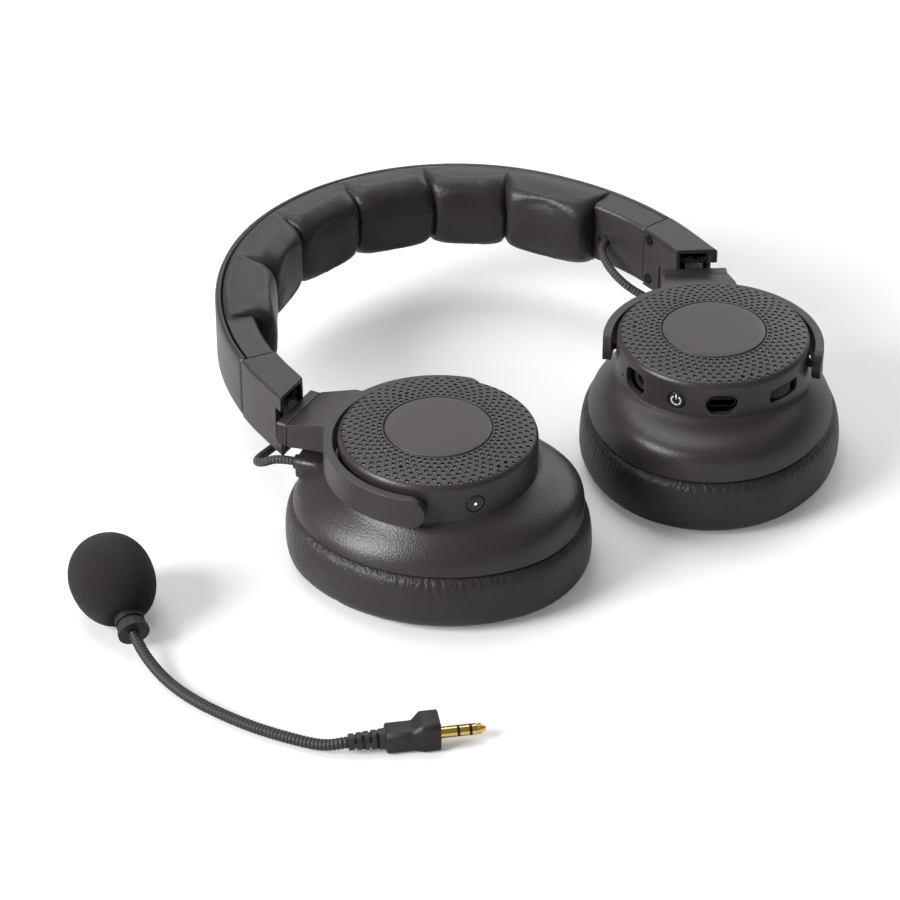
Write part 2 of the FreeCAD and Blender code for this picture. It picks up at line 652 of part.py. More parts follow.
def make_cup_shell(controls):
    drum = cup_form(0, SEAM_Z)
    edge_z = crown_z(DRUM_R)
    rim = [e for e in drum.Edges if abs(e.BoundBox.ZMin - edge_z) + abs(e.BoundBox.ZMax - edge_z) < 1e-5]
    half = BOSS_HEIGHT / 2
    boss = box(RELIEF_OUT, RELIEF_OUT + BOSS_LENGTH, -BOSS_WIDTH / 2, BOSS_WIDTH / 2, -half, half)
    outside = drum.makeFillet(CUP_EDGE_R, rim).fuse(at_boss(boss))
    inside = cup_form(CUP_WALL, SEAM_Z - 1)
    recess = rod(DISC_R + DISC_GROOVE, V(0, 0, CUP_TOP_Z - DISC_T), V(0, 0, CUP_TOP_Z + 1))
    entry = at_boss(rod(RELIEF_NECK_R + SEAT_GAP, V(0, 0, 0), V(RELIEF_OUT + RELIEF_IN + SEAT_GAP, 0, 0)))
    shell = outside.cut([inside, recess, entry])
    bosses, holes = [], []
    for side in (-1, 1):
        start = V(-PIVOT_OFFSET, side * (DRUM_R - PIVOT_BITE), PIVOT_Z)
        end = V(-PIVOT_OFFSET, side * (DRUM_R - CUP_WALL / 2), PIVOT_Z)
        bosses.append(rod(PIVOT_BOSS_R, start, end))
        holes.append(rod(PIVOT_R + RUN_GAP, start - V(0, side, 0), end + V(0, side * 3, 0)))
    return shell.fuse(bosses).cut(holes + port_holes(controls))


def port_holes(controls):
    deep = DRUM_R - CUP_WALL - 1.5
    out = DRUM_R + 2
    button = rod(BUTTON_R + BUTTON_GAP, V(deep, 0, 0), V(out, 0, 0))
    if not controls:
        return [at_port(button, MUTE_ANGLE)]
    wide, tall, corner = JACK_PORT
    jack = moved(rounded_box(out - deep, wide, tall, corner), V(deep, 0, 0))
    usb = stadium_bar(USB_PORT[0], USB_PORT[1], deep, out)
    window = moved(rounded_box(out - deep, WHEEL_WINDOW[0], WHEEL_WINDOW[1], 0.6), V(deep, 0, 0))
    pinhole = rod(0.5, V(deep, 0, -2), V(out, 0, -2))
    return [at_port(jack, JACK_ANGLE), at_port(usb, USB_ANGLE), at_port(button, POWER_ANGLE),
            at_port(window, WHEEL_ANGLE), at_port(pinhole, JACK_ANGLE - 14)]


def make_cushion():
    outer = rounded_stack(CUSHION_OUT[::-1])
    inner = rounded_stack(CUSHION_IN)
    top = SEAM_Z - RING_T - 2 * SEAT_GAP
    seat = oval_plate(-RING_INSET + SEAT_GAP, top, SEAM_Z + 1)
    return outer.cut([inner, seat, box(-FAR, FAR, -FAR, FAR, -5, 0)])


def make_cup_inside():
    ring_high = SEAM_Z - SEAT_GAP
    ring_low = ring_high - RING_T
    ring = oval_plate(-RING_INSET, ring_low, ring_high).cut(oval_plate(-RING_HOLE_INSET, 0, FAR))
    scrim_high = ring_low - SEAT_GAP
    scrim = oval_plate(CUSHION_IN[-1][1] - MOVE_GAP, scrim_high - SCRIM_T, scrim_high)
    baffle_low = SEAM_Z
    baffle_high = baffle_low + BAFFLE_T
    plate = oval_plate(-BAFFLE_INSET, baffle_low, baffle_high)
    plate = plate.cut(rod(DRIVER_R - 2, V(0, 0, 0), V(0, 0, FAR)))
    posts = []
    for angle in (-POST_ANGLE, POST_ANGLE, 180 - POST_ANGLE, 180 + POST_ANGLE):
        foot, head = radial(angle, POST_RADIUS, baffle_high - 0.5), radial(angle, POST_RADIUS, BOARD_Z - SEAT_GAP)
        posts.append(rod(POST_R, foot, head))
    basket = rod(DRIVER_R, V(0, 0, baffle_high + SEAT_GAP), V(0, 0, baffle_high + DRIVER_H))
    dish = rod(DRIVER_R - 2.5, V(0, 0, 0), V(0, 0, baffle_high + 1.2))
    magnet = rod(MAGNET_R, V(0, 0, baffle_high + DRIVER_H), V(0, 0, baffle_high + DRIVER_H + MAGNET_H))
    return {
        "cushion_ring": ring, "scrim": scrim, "baffle": plate.fuse(posts),
        "driver": basket.fuse(magnet).removeSplitter().cut(dish),
    }


def make_disc():
    low = CUP_TOP_Z - DISC_T + SEAT_GAP
    disc = rod(DISC_R, V(0, 0, low), V(0, 0, CUP_TOP_Z + DISC_PROUD))
    rim = [e for e in disc.Edges if abs(e.BoundBox.ZMin - CUP_TOP_Z - DISC_PROUD) < 1e-6 and e.BoundBox.ZLength < 1e-6]
    return disc.makeFillet(0.3, rim)


def make_button(angle):
    face = DRUM_R + 0.15
    stem = rod(BUTTON_R, V(face - BUTTON_LENGTH, 0, 0), V(face, 0, 0))
    flange_at = DRUM_R - CUP_WALL - MOVE_GAP - 1.0
    flange = rod(BUTTON_FLANGE_R, V(face - BUTTON_LENGTH, 0, 0), V(flange_at, 0, 0))
    rim = [e for e in stem.Edges if abs(e.CenterOfMass.x - face) < 0.3 and abs(e.BoundBox.XLength) < 1e-6]
    return at_port(stem.makeFillet(0.4, rim).fuse(flange), angle)


def switch_box(angle):
    """The switch that a button presses, on the board below it."""
    wide, deep = SWITCH
    front = DRUM_R + 0.15 - BUTTON_LENGTH - BUTTON_TRAVEL - 0.2
    return turned(box(front - deep, front, -wide / 2, wide / 2, BOARD_Z + BOARD_T, PORT_Z + 2), angle)


def make_left_electronics():
    board = rod(BOARD_R, V(0, 0, BOARD_Z), V(0, 0, BOARD_Z + BOARD_T))
    axle = radial(WHEEL_ANGLE, DRUM_R - 0.2 - WHEEL_R, 0)
    top = BOARD_Z + BOARD_T
    encoder_high = PORT_Z - WHEEL_T / 2 - MOVE_GAP
    encoder = rod(WHEEL_R - 2.6, axle + V(0, 0, top), axle + V(0, 0, encoder_high))
    bore = rod(WHEEL_SHAFT_R + RUN_GAP, axle + V(0, 0, BOARD_Z - 1), axle + V(0, 0, FAR))
    usb_low = PORT_Z - USB_SHELL[1] / 2 - SEAT_GAP
    usb_seat = turned(box(DRUM_R - CUP_WALL - USB_SHELL[2], DRUM_R - CUP_WALL - 2.5, -5, 5, top, usb_low), USB_ANGLE)
    jack_low = PORT_Z - JACK_BODY_R - SEAT_GAP
    jack_seat = turned(box(JACK_FACE_R - JACK_DEPTH + 2, JACK_FACE_R - 5, -4, 4, top, jack_low), JACK_ANGLE)
    parts = board.fuse([encoder, switch_box(POWER_ANGLE), usb_seat, jack_seat]).cut(bore)
    wheel = rod(WHEEL_R, axle + V(0, 0, PORT_Z - WHEEL_T / 2), axle + V(0, 0, PORT_Z + WHEEL_T / 2))
    nick = []
    for i in range(WHEEL_RIBS):
        spot = axle + radial(360.0 * i / WHEEL_RIBS, WHEEL_R + 0.1, 0)
        nick.append(rod(0.35, spot, spot + V(0, 0, FAR)))
    wheel = wheel.cut(nick).fuse(rod(WHEEL_SHAFT_R, axle + V(0, 0, BOARD_Z + 0.5), axle + V(0, 0, PORT_Z)))
    jack = rod(JACK_BODY_R, V(JACK_FACE_R - JACK_DEPTH, 0, 0), V(JACK_FACE_R, 0, 0))
    jack = jack.cut(rod(JACK_BORE_R, V(JACK_FACE_R - JACK_DEPTH + 1, 0, 0), V(FAR, 0, 0)))
    wide, tall, deep = USB_SHELL
    face = DRUM_R - CUP_WALL - 0.2
    usb = stadium_bar(wide, tall, face - deep, face).cut(
        stadium_bar(wide - 2 * USB_WALL, tall - 2 * USB_WALL, face - deep + 1, face + 1))
    tongue_w, tongue_t, tongue_l = USB_TONGUE
    tongue = box(face - deep + 0.5, face - deep + 0.5 + tongue_l, -tongue_w / 2, tongue_w / 2, -tongue_t / 2,
                 tongue_t / 2)
    return {
        "circuit_board": parts, "volume_wheel": wheel, "boom_jack": at_port(jack, JACK_ANGLE),
        "usb_port": at_port(usb.fuse(tongue), USB_ANGLE), "power_button": make_button(POWER_ANGLE),
    }


def make_right_electronics():
    long, wide, tall = BATTERY
    low = BOARD_Z + BOARD_T + SEAT_GAP
    battery = moved(rounded_box(long, wide, tall, 1.5), V(-long / 2, 0, low + tall / 2))
    board = rod(BOARD_R, V(0, 0, BOARD_Z), V(0, 0, BOARD_Z + BOARD_T))
    board = board.fuse(switch_box(MUTE_ANGLE))
    battery = battery.cut(turned(box(16, FAR, -5, 5, -1, FAR), MUTE_ANGLE))
    return {"circuit_board": board, "battery": battery, "mute_button": make_button(MUTE_ANGLE)}


def make_yoke():
    strap_in = STRAP_R - STRAP_T
    ring = rod(STRAP_R, V(0, 0, STRAP_LOW_Z), V(0, 0, STRAP_HIGH_Z)).cut(rod(strap_in, V(0, 0, 0), V(0, 0, FAR)))
    front = box(-PIVOT_OFFSET, FAR, -FAR, FAR, 0, FAR)
    half = (STRAP_HIGH_Z - STRAP_LOW_Z) / 2
    ends = rod(half, V(-PIVOT_OFFSET, -FAR, PIVOT_Z), V(-PIVOT_OFFSET, FAR, PIVOT_Z))
    strap = ring.common(front).fuse(ring.common(ends)).removeSplitter()
    strap = at_cup(strap)
    near = ARM_WIDTH / 2
    far = ARM_FLARE / 2
    low, high = STRAP_LOW_Z - BAND_MID_Z, STRAP_HIGH_Z - BAND_MID_Z
    up = ARM_HEIGHT / 2
    meet = ARM_LENGTH - STRAP_R

    def section(x, half_w, z0, z1):
        corners = [V(x, -half_w, z0), V(x, half_w, z0), V(x, half_w, z1), V(x, -half_w, z1)]
        return Part.makePolygon(corners + corners[:1])

    arm = Part.makeLoft([section(ARM_START, near, -up, up), section(meet, near + 0.8, low, high)], True, True)
    root = Part.makeLoft([section(meet, near + 0.8, low, high), section(ARM_LENGTH - 20, far, low, high)], True, True)
    drum = rod(strap_in, V(ARM_LENGTH, 0, -FAR), V(ARM_LENGTH, 0, FAR))
    arm = arm.fuse(root).cut(drum)
    inner_face = V(ARM_LENGTH - strap_in + STRAP_T, 0, 0)
    bore = rod(BOLT_R + RUN_GAP, V(0, 0, 0), inner_face)
    pocket = rod(BOLT_HEAD_R + MOVE_GAP, V(BOLT_HEAD_AT - MOVE_GAP / 2, 0, 0), inner_face)
    whole = strap.fuse(at_hinge(arm)).removeSplitter()
    return whole.cut([at_hinge(bore), at_hinge(pocket), at_cup(pivot_bar(SEAT_GAP / 4))])


def pivot_bar(gap=0.0):
    """Both pivot pins, in the cup frame."""
    pins = []
    for side in (-1, 1):
        outer = STRAP_R - 0.9
        inner = outer - PIVOT_BITE
        start, end = V(-PIVOT_OFFSET, side * inner, PIVOT_Z), V(-PIVOT_OFFSET, side * (outer + gap), PIVOT_Z)
        pins.append(rod(PIVOT_R + gap, start, end))
    return Part.makeCompound(pins)


# Leads: straight runs joined by tangent arcs

def rounded_path(points):
    """A wire through the points, with each corner an arc as large as its two runs allow."""
    points = [V(*p) for p in points]
    edges = []
    radii = []
    here = points[0]
    for before, corner, after in zip(points, points[1:], points[2:]):
        a = (before - corner)
        b = (after - corner)
        reach = 0.45 * min(a.Length, b.Length)
        a.normalize()
        b.normalize()
        turn = pi - acos(a.dot(b))
        radii.append(reach / tan(turn / 2))
        start, end = corner + a * reach, corner + b * reach
        middle_way = (a + b).normalize()
        drop = radii[-1] / cos(turn / 2) - radii[-1]
        edges.append(Part.LineSegment(here, start).toShape())
        edges.append(Part.Arc(start, corner + middle_way * drop, end).toShape())
        here = end
    edges.append(Part.LineSegment(here, points[-1]).toShape())
    return Part.Wire(edges), radii


def make_lead():
    mouth, way = hole_frame()
    start = mouth - way * (LEAD_SINK - SEAT_GAP)
    route = [route_point(p) for p in LEAD_ROUTE]
    path, radii = rounded_path([start, *route, lead_end(LEAD_STRAIGHT), lead_end(0)])
    circle = Part.Wire(Part.makeCircle(LEAD_R, start, way))
    tube = path.makePipeShell([circle], True, False)
    ratio = tube.Volume / (pi * LEAD_R ** 2 * path.Length)
    print("lead length %.1f, radii %s, volume ratio %.4f" % (path.Length, [round(r, 1) for r in radii], ratio))
    return tube


def make_strain_relief():
    """A collar on the cup's boss; the lead ends on its outer face."""
    collar = rod(RELIEF_R, V(SEAT_GAP / 2, 0, 0), V(RELIEF_OUT - SEAT_GAP / 2, 0, 0))
    neck = rod(RELIEF_NECK_R, V(SEAT_GAP, 0, 0), V(RELIEF_OUT + RELIEF_IN, 0, 0))
    return at_boss(collar.fuse(neck))


# Boom microphone

def at_plug(shape):
    return moved(turned(shape, PLUG_AZIMUTH), V(PLUG_POINT[0], PLUG_POINT[1], PLUG_MID_Z))


def make_plug():
    length, wide, tall = PLUG_SIZE
    body = rounded_box(length, wide, tall, PLUG_ROUND)
    key_len, key_wide, key_up = KEY_SIZE
    key = moved(rounded_box(key_len, key_wide, tall + key_up, PLUG_ROUND), V(length - key_len, 0, key_up / 2))
    body = body.fuse(key)
    sleeve, ring, tip = CONTACTS
    gap = SEAT_GAP / 2
    x = length
    stem = rod(CONTACT_R * 0.5, V(x - 3, 0, 0), V(x + PIN_LENGTH - 3, 0, 0))
    contacts, insulators = [], []
    for i, part in enumerate((sleeve, ring, tip)):
        if part is tip:
            nose = rod(CONTACT_R, V(x + gap, 0, 0), V(x + 1.3, 0, 0))
            waist = Part.makeCone(CONTACT_R * 0.72, CONTACT_R, 1.2, V(x + 1.3, 0, 0), V(1, 0, 0))
            point = Part.makeCone(CONTACT_R, CONTACT_R * 0.35, part - 2.5, V(x + 2.5, 0, 0), V(1, 0, 0))
            contacts.append(nose.fuse([waist, point]))
        else:
            contacts.append(rod(CONTACT_R, V(x + gap, 0, 0), V(x + part - gap, 0, 0)))
            washer = rod(CONTACT_R, V(x + part, 0, 0), V(x + part + INSULATOR_T, 0, 0))
            insulators.append(washer)
            x += INSULATOR_T
        x += part
    core = stem.fuse(insulators)
    bore = rod(CONTACT_R * 0.5 + gap, V(0, 0, 0), V(length + PIN_LENGTH - 3 + gap, 0, 0))
    contacts = [c.cut(bore) for c in contacts]
    socket = rod(CONTACT_R * 0.5 + gap, V(length - 3 - gap, 0, 0), V(length + 1, 0, 0))
    return {
        "plug_body": at_plug(body.cut(socket)), "plug_contacts": at_plug(Part.makeCompound(contacts)),
        "plug_insulators": at_plug(core), "boom_boot": at_plug(make_boot()),
    }


def make_boot():
    boot = Part.makeCone(BOOT_R1, BOOT_R0, BOOT_LENGTH, V(-BOOT_LENGTH, 0, 0), V(1, 0, 0))
    pitch = BOOT_LENGTH / (BOOT_GROOVES + 1)
    for i in range(BOOT_GROOVES):
        x = -BOOT_LENGTH + pitch * (i + 0.7)
        ring = rod(BOOT_R0 + 1, V(x, 0, 0), V(x + pitch * 0.4, 0, 0)).cut(rod(NECK_R + 0.15, V(x - 1, 0, 0), V(x + 3, 0, 0)))
        slots = ring.cut(box(x - 1, x + 3, -0.7, 0.7, -9, 9)) if i % 2 else ring.cut(box(x - 1, x + 3, -9, 9, -0.7, 0.7))
        boot = boot.cut(slots)
    return boot.cut(rod(NECK_BORE_R, V(-BOOT_LENGTH - 1, 0, 0), V(0.1 - 2, 0, 0)))


def neck_ends():
    """Where the gooseneck leaves the boot, and where it enters the capsule housing, each with its way."""
    boot_way = V(cos(radians(PLUG_AZIMUTH)), sin(radians(PLUG_AZIMUTH)), 0)
    start = V(PLUG_POINT[0], PLUG_POINT[1], PLUG_MID_Z) - boot_way * (BOOT_LENGTH + SEAT_GAP)
    rise = radians(MIC_RISE)
    mic_way = V(cos(radians(MIC_AZIMUTH)) * cos(rise), sin(radians(MIC_AZIMUTH)) * cos(rise), sin(rise))
    return start, boot_way * -1, V(*MIC_POINT), mic_way


def neck_curve():
    start, start_way, end, end_way = neck_ends()
    points = [start] + [V(*p) for p in NECK_ROUTE] + [end]
    curve = Part.BSplineCurve()
    curve.interpolate(points, InitialTangent=start_way * 60, FinalTangent=end_way * 60)
    return curve


def neck_wire(curve, parameter, radius):
    centre = curve.value(parameter)
    way = V(*curve.tangent(parameter)[0])
    side = V(0, 0, 1).cross(way).normalize()
    circle = Part.Circle(centre, way, radius)
    circle.XAxis = side
    return Part.Wire(circle.toShape())


def make_gooseneck():
    curve = neck_curve()
    edge = curve.toShape()
    ribs = int(edge.Length / NECK_PITCH)
    stops = edge.discretize(Number=4 * ribs + 1)
    levels = (-NECK_RIB, 0.0, 0.0, -NECK_RIB)
    wires = []
    for i, point in enumerate(stops):
        wires.append(neck_wire(curve, curve.parameter(point), NECK_R + levels[i % 4]))
    tube = Part.makeLoft(wires, True, True)
    bore = Part.makeLoft([neck_wire(curve, curve.parameter(p), NECK_BORE_R) for p in stops[::4]], True, True)
    print("gooseneck length %.1f, %d ribs" % (edge.Length, ribs))
    return tube.cut(bore)


def at_mic(shape):
    _, _, end, _ = neck_ends()
    tipped = turned(shape, -MIC_RISE, axis=V(0, 1, 0))
    return moved(turned(tipped, MIC_AZIMUTH), end)


def make_mic_head():
    neck_r, neck_len = MIC_NECK
    flange_r, flange_t = MIC_FLANGE
    cap_r, cap_len = CAPSULE
    body = rod(neck_r, V(SEAT_GAP, 0, 0), V(neck_len, 0, 0))
    body = body.fuse(rod(flange_r, V(SEAT_GAP, 0, 0), V(SEAT_GAP + flange_t, 0, 0)))
    tube_r = cap_r + CAPSULE_WALL
    body = body.fuse(rod(tube_r, V(neck_len, 0, 0), V(neck_len + cap_len, 0, 0)))
    groove = rod(neck_r + 1, V(3.4, 0, 0), V(4.4, 0, 0)).cut(rod(neck_r - 0.6, V(3, 0, 0), V(5, 0, 0)))
    body = body.cut([groove, rod(cap_r, V(neck_len + 0.6, 0, 0), V(FAR, 0, 0)), rod(NECK_BORE_R, V(-1, 0, 0), V(neck_len - 2, 0, 0))])
    capsule = rod(cap_r - SEAT_GAP, V(neck_len + 0.7, 0, 0), V(neck_len + cap_len - 1, 0, 0))
    housing = at_mic(body)
    core = at_mic(rod(tube_r + SEAT_GAP, V(neck_len - 2, 0, 0), V(neck_len + cap_len + SEAT_GAP, 0, 0)))
    collar = at_mic(rod(neck_r + SEAT_GAP, V(-1, 0, 0), V(neck_len + SEAT_GAP, 0, 0)))
    ball = Part.makeSphere(FOAM_R)
    stretch = FreeCAD.Matrix()
    stretch.scale(FOAM_HALF / FOAM_R, 1, 1)
    ball = turned(ball.transformGeometry(stretch), MIC_AZIMUTH)
    foam = moved(ball, V(FOAM_CENTRE[0], FOAM_CENTRE[1], FOAM_R - FOAM_SINK))
    foam = foam.cut([box(-FAR * 2, FAR, -FAR, FAR, -FAR, 0), core, collar])
    return {"mic_housing": housing, "mic_capsule": at_mic(capsule), "mic_foam": foam}


def side_pieces():
    """Every piece of the wearer's left side but the electronics, placed."""
    left = {"end_cover": make_end_cover()}
    left.update(make_slider())
    left["hinge_knuckle"] = make_knuckle()
    left["swivel_bolt"] = make_swivel_bolt()
    left["yoke"] = make_yoke()
    left["pivot_pins"] = at_cup(pivot_bar())
    cup = make_cup_inside()
    cup["centre_disc"] = make_disc()
    cup["ear_cushion"] = make_cushion()
    cup["strain_relief"] = make_strain_relief()
    for name, shape in cup.items():
        left[name] = at_cup(shape)
    left["lead"] = make_lead()
    return left


def main():
    pieces = make_headband()
    for name, shape in side_pieces().items():
        pieces["left_" + name] = shape
        pieces["right_" + name] = mirrored(shape)
    pieces["left_cup_shell"] = at_cup(make_cup_shell(True))
    pieces["right_cup_shell"] = mirrored(at_cup(make_cup_shell(False)))
    shared = ("circuit_board",)
    for name, shape in make_left_electronics().items():
        pieces[("left_" if name in shared else "") + name] = at_cup(shape)
    for name, shape in make_right_electronics().items():
        pieces[("right_" if name in shared else "") + name] = mirrored(at_cup(shape))
    pieces.update(make_plug())
    pieces["gooseneck"] = make_gooseneck()
    pieces.update(make_mic_head())

    whole = FreeCAD.BoundBox()
    for shape in pieces.values():
        whole.add(shape.optimalBoundingBox(False, False))
    shift = V(-(whole.XMin + whole.XMax) / 2, -(whole.YMin + whole.YMax) / 2, 0)
    print("origin moved by %.3f %.3f, box %.2f %.2f %.2f" % (shift.x, shift.y, whole.XLength, whole.YLength, whole.ZMax))
    for name, shape in sorted(pieces.items()):
        placed = moved(shape, shift)
        if not placed.isValid() or placed.Volume <= 0:
            print("check", name, placed.isValid(), placed.Volume)
        placed.exportStep("parts/%s.step" % name)
    print(len(pieces), "pieces")


main()
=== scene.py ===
# %% [markdown]
# # A folding headset for a product photograph
# The CAD frame gives every piece its size, its place and the body it moves with.
# This lesson dresses that frame: pieces that look right as they are get a finish, and the rest
# are drawn again as surfaces worked out with numpy, in the same place.

import bpy
import numpy as np
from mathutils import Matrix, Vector


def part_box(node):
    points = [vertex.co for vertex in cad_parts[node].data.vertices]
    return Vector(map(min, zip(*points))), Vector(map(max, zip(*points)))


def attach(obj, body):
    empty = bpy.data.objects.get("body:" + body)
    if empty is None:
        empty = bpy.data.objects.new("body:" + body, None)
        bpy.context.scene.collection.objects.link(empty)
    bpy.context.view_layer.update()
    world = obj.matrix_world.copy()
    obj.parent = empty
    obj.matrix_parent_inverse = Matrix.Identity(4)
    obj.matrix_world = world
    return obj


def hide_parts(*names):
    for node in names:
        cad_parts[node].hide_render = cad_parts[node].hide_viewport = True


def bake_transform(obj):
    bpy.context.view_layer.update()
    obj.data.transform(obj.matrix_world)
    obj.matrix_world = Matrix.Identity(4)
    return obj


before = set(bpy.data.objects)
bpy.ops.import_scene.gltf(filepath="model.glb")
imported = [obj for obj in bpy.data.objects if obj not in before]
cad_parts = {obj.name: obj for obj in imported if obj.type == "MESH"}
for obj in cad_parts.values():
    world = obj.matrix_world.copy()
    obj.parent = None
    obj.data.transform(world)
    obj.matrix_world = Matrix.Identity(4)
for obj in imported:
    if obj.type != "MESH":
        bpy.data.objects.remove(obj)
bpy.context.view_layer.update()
MM = 0.001

# %% [markdown]
# ## Landmarks
# The headset lies folded on its ear cushions. Everything is drawn for the wearer's left side and
# mirrored for the right, so two small frames are enough: one at the middle of the band's arch and
# one under the middle of each ear cup.

# %% The two drawing frames, in millimetres
BAND_R = 80.4
FOLD_REST = 29.2
EAR_LEAN = 13.0

shell_low, shell_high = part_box("headband_shell")
ROW = np.array([(shell_low.x + shell_high.x) / 2, shell_high.y - BAND_R * MM, 0.0])
disc_low, disc_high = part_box("left_centre_disc")
CUP = np.array([(disc_low.x + disc_high.x) / 2, (disc_low.y + disc_high.y) / 2, 0.0])
CUP = (CUP - ROW) / MM
CUP_TURN = np.radians(90.0 - FOLD_REST - EAR_LEAN)


def placed(points, side=1):
    """From millimetres on the left side to metres in the frame; side -1 mirrors to the right."""
    points = np.array(points, float)
    points[..., 0] *= side
    return points * MM + ROW


def turned(points, angle):
    """Points turned by an angle in radians about the vertical axis."""
    points = np.asarray(points, float)
    x, y, z = points[..., 0], points[..., 1], points[..., 2]
    return np.stack([x * np.cos(angle) - y * np.sin(angle), x * np.sin(angle) + y * np.cos(angle), z], -1)


def in_cup(points, side=1):
    """From the ear cup's own frame, +X along its oval to the hinge end."""
    return placed(turned(points, CUP_TURN) + CUP, side)


print("row origin", ROW.round(4), "left cup centre in mm", CUP.round(2))

# %% [markdown]
# ## Camera
# A long lens from well back keeps the ellipses of the cups calm, as in a catalogue picture. The
# camera stands to the front left and looks down by about a third of a right angle.

# %% The camera
CAMERA_AZIMUTH = np.radians(-32.505)
CAMERA_RISE = np.radians(34.112)
CAMERA_DISTANCE = 1.175
LOOK_AT = Vector(ROW + np.array([-17.864, -23.953, 0.0]) * MM)

camera_data = bpy.data.cameras.new("camera")
camera_data.lens = 140.5
camera_data.sensor_width = 36.0
camera = bpy.data.objects.new("camera", camera_data)
back = Vector((np.sin(CAMERA_AZIMUTH) * np.cos(CAMERA_RISE), -np.cos(CAMERA_AZIMUTH) * np.cos(CAMERA_RISE),
               np.sin(CAMERA_RISE)))
camera.location = LOOK_AT + back * CAMERA_DISTANCE
camera.rotation_euler = (-back).to_track_quat("-Z", "Y").to_euler()
bpy.context.scene.collection.objects.link(camera)
bpy.context.scene.camera = camera
print("camera at", tuple(round(v, 4) for v in camera.location))

# %% [markdown]
# ## A way to make surfaces
# A Sheet collects whole arrays of points and the faces between neighbouring rows. A row that is
# closed joins its last point to its first, so a tube, a ring and a cup are all the same thing.

# %% Sheets of points


class Sheet:
    """Arrays of points and the faces between them."""

    def __init__(self):
        self.points, self.faces, self.count = [], [], 0

    def add(self, points):
        """Adds an array of points and returns their numbers in the same arrangement."""
        points = np.asarray(points, float)
        ids = self.count + np.arange(points[..., 0].size).reshape(points.shape[:-1])
        self.points.append(points.reshape(-1, 3))
        self.count += ids.size
        return ids

    def loft(self, ids, keep=None, closed=True):
        """Quads between neighbouring rows of a grid; they face along (row direction) x (next row)."""
        here = ids if closed else ids[:, :-1]
        after = np.roll(ids, -1, axis=1) if closed else ids[:, 1:]
        quads = np.stack([here[:-1], after[:-1], after[1:], here[1:]], -1)
        self.faces += (quads.reshape(-1, 4) if keep is None else quads[keep]).tolist()

    def bridge(self, a, b):
        """Quads between two closed loops, or between two stacks of them."""
        quads = np.stack([a, np.roll(a, -1, -1), np.roll(b, -1, -1), b], -1)
        self.faces += quads.reshape(-1, 4).tolist()

    def cap(self, loops, flip=False):
        """One flat face on each closed loop."""
        loops = np.atleast_2d(loops)
        self.faces += (loops[:, ::-1] if flip else loops).tolist()


def make_piece(name, sheet, place, side=1):
    """A smooth-shaded mesh object from a sheet; a mirrored one has its faces turned round."""
    points = place(np.concatenate(sheet.points), side)
    faces = [face[::-1] for face in sheet.faces] if side < 0 else sheet.faces
    used = np.unique(np.concatenate([np.asarray(face) for face in faces]))
    number = np.full(len(points), -1)
    number[used] = np.arange(len(used))
    mesh = bpy.data.meshes.new(name)
    mesh.from_pydata(points[used].tolist(), [], [number[face].tolist() for face in map(np.asarray, faces)])
    mesh.polygons.foreach_set("use_smooth", np.full(len(mesh.polygons), True))
    piece = bpy.data.objects.new(name, mesh)
    bpy.context.scene.collection.objects.link(piece)
    return piece


def closed_tube(rings):
    """A sheet from rings that follow one another, with a flat face on each end."""
    sheet = Sheet()
    ids = sheet.add(rings)
    sheet.loft(ids)
    sheet.cap(ids[0], flip=True)
    sheet.cap(ids[-1])
    return sheet


def turned_rings(profile, count):
    """Rings about the vertical axis, one for each radius and height of the profile."""
    angle = 2 * np.pi * np.arange(count) / count
    radius, height = np.asarray(profile, float).T[:, :, None]
    return np.stack([radius * np.cos(angle), radius * np.sin(angle), height + 0 * angle], -1)


def smooth_through(points, count):
    """Points on a Catmull-Rom curve.

    Each span is the cubic whose slope at a point is half the step between its two neighbours.
    """
    points = np.asarray(points, float)
    padded = np.concatenate([2 * points[:1] - points[1:2], points, 2 * points[-1:] - points[-2:-1]])
    t = np.linspace(0, len(points) - 1, count)
    i = np.minimum(t.astype(int), len(points) - 2)
    f = (t - i).reshape((-1,) + (1,) * (points.ndim - 1))
    a, b, c, d = (padded[i + k] for k in range(4))
    square = (2 * a - 5 * b + 4 * c - d) * f ** 2
    cube = (3 * b - a - 3 * c + d) * f ** 3
    return 0.5 * (2 * b + (c - a) * f + square + cube)


print("sheets ready")

# %% [markdown]
# ## Finishes
# Each material starts from what the real one is. One small function adds a node, sets it and links
# it, and colours are written as sRGB hex and turned to linear in one place. Patterns read Object
# coordinates, which are metres here, so a pattern's scale is one over its size in metres.

# %% Colour and node helpers


def linear(code):
    """A linear colour with full alpha from an sRGB hex code."""
    value = np.array([int(code[i:i + 2], 16) for i in (1, 3, 5)]) / 255
    value = np.where(value <= 0.04045, value / 12.92, ((value + 0.055) / 1.055) ** 2.4)
    return (*value.tolist(), 1.0)


def add_node(tree, kind, sockets=None, **settings):
    """Adds a node with its settings; each socket is set to a value or linked to another node's output."""
    made = tree.nodes.new(kind)
    for key, value in settings.items():
        setattr(made, key, value)
    for socket, value in (sockets or {}).items():
        if isinstance(value, bpy.types.NodeSocket):
            tree.links.new(value, made.inputs[socket])
        else:
            made.inputs[socket].default_value = value
    return made


def finish_material(name, **base):
    """A material with one Principled shader whose plain values are set on its own sockets."""
    material = bpy.data.materials.new(name)
    material.use_nodes = True
    tree = material.node_tree
    tree.nodes.clear()
    shader = add_node(tree, "ShaderNodeBsdfPrincipled", base)
    add_node(tree, "ShaderNodeOutputMaterial", {"Surface": shader.outputs[0]})
    return material, tree, shader


def tinted(tree, shader, factor, dark, light):
    """The shader's colour moves between two hex colours with a factor."""
    mix = add_node(tree, "ShaderNodeMix", {"Factor": factor}, data_type="RGBA")
    mix.inputs[6].default_value = linear(dark)
    mix.inputs[7].default_value = linear(light)
    tree.links.new(mix.outputs[2], shader.inputs["Base Color"])


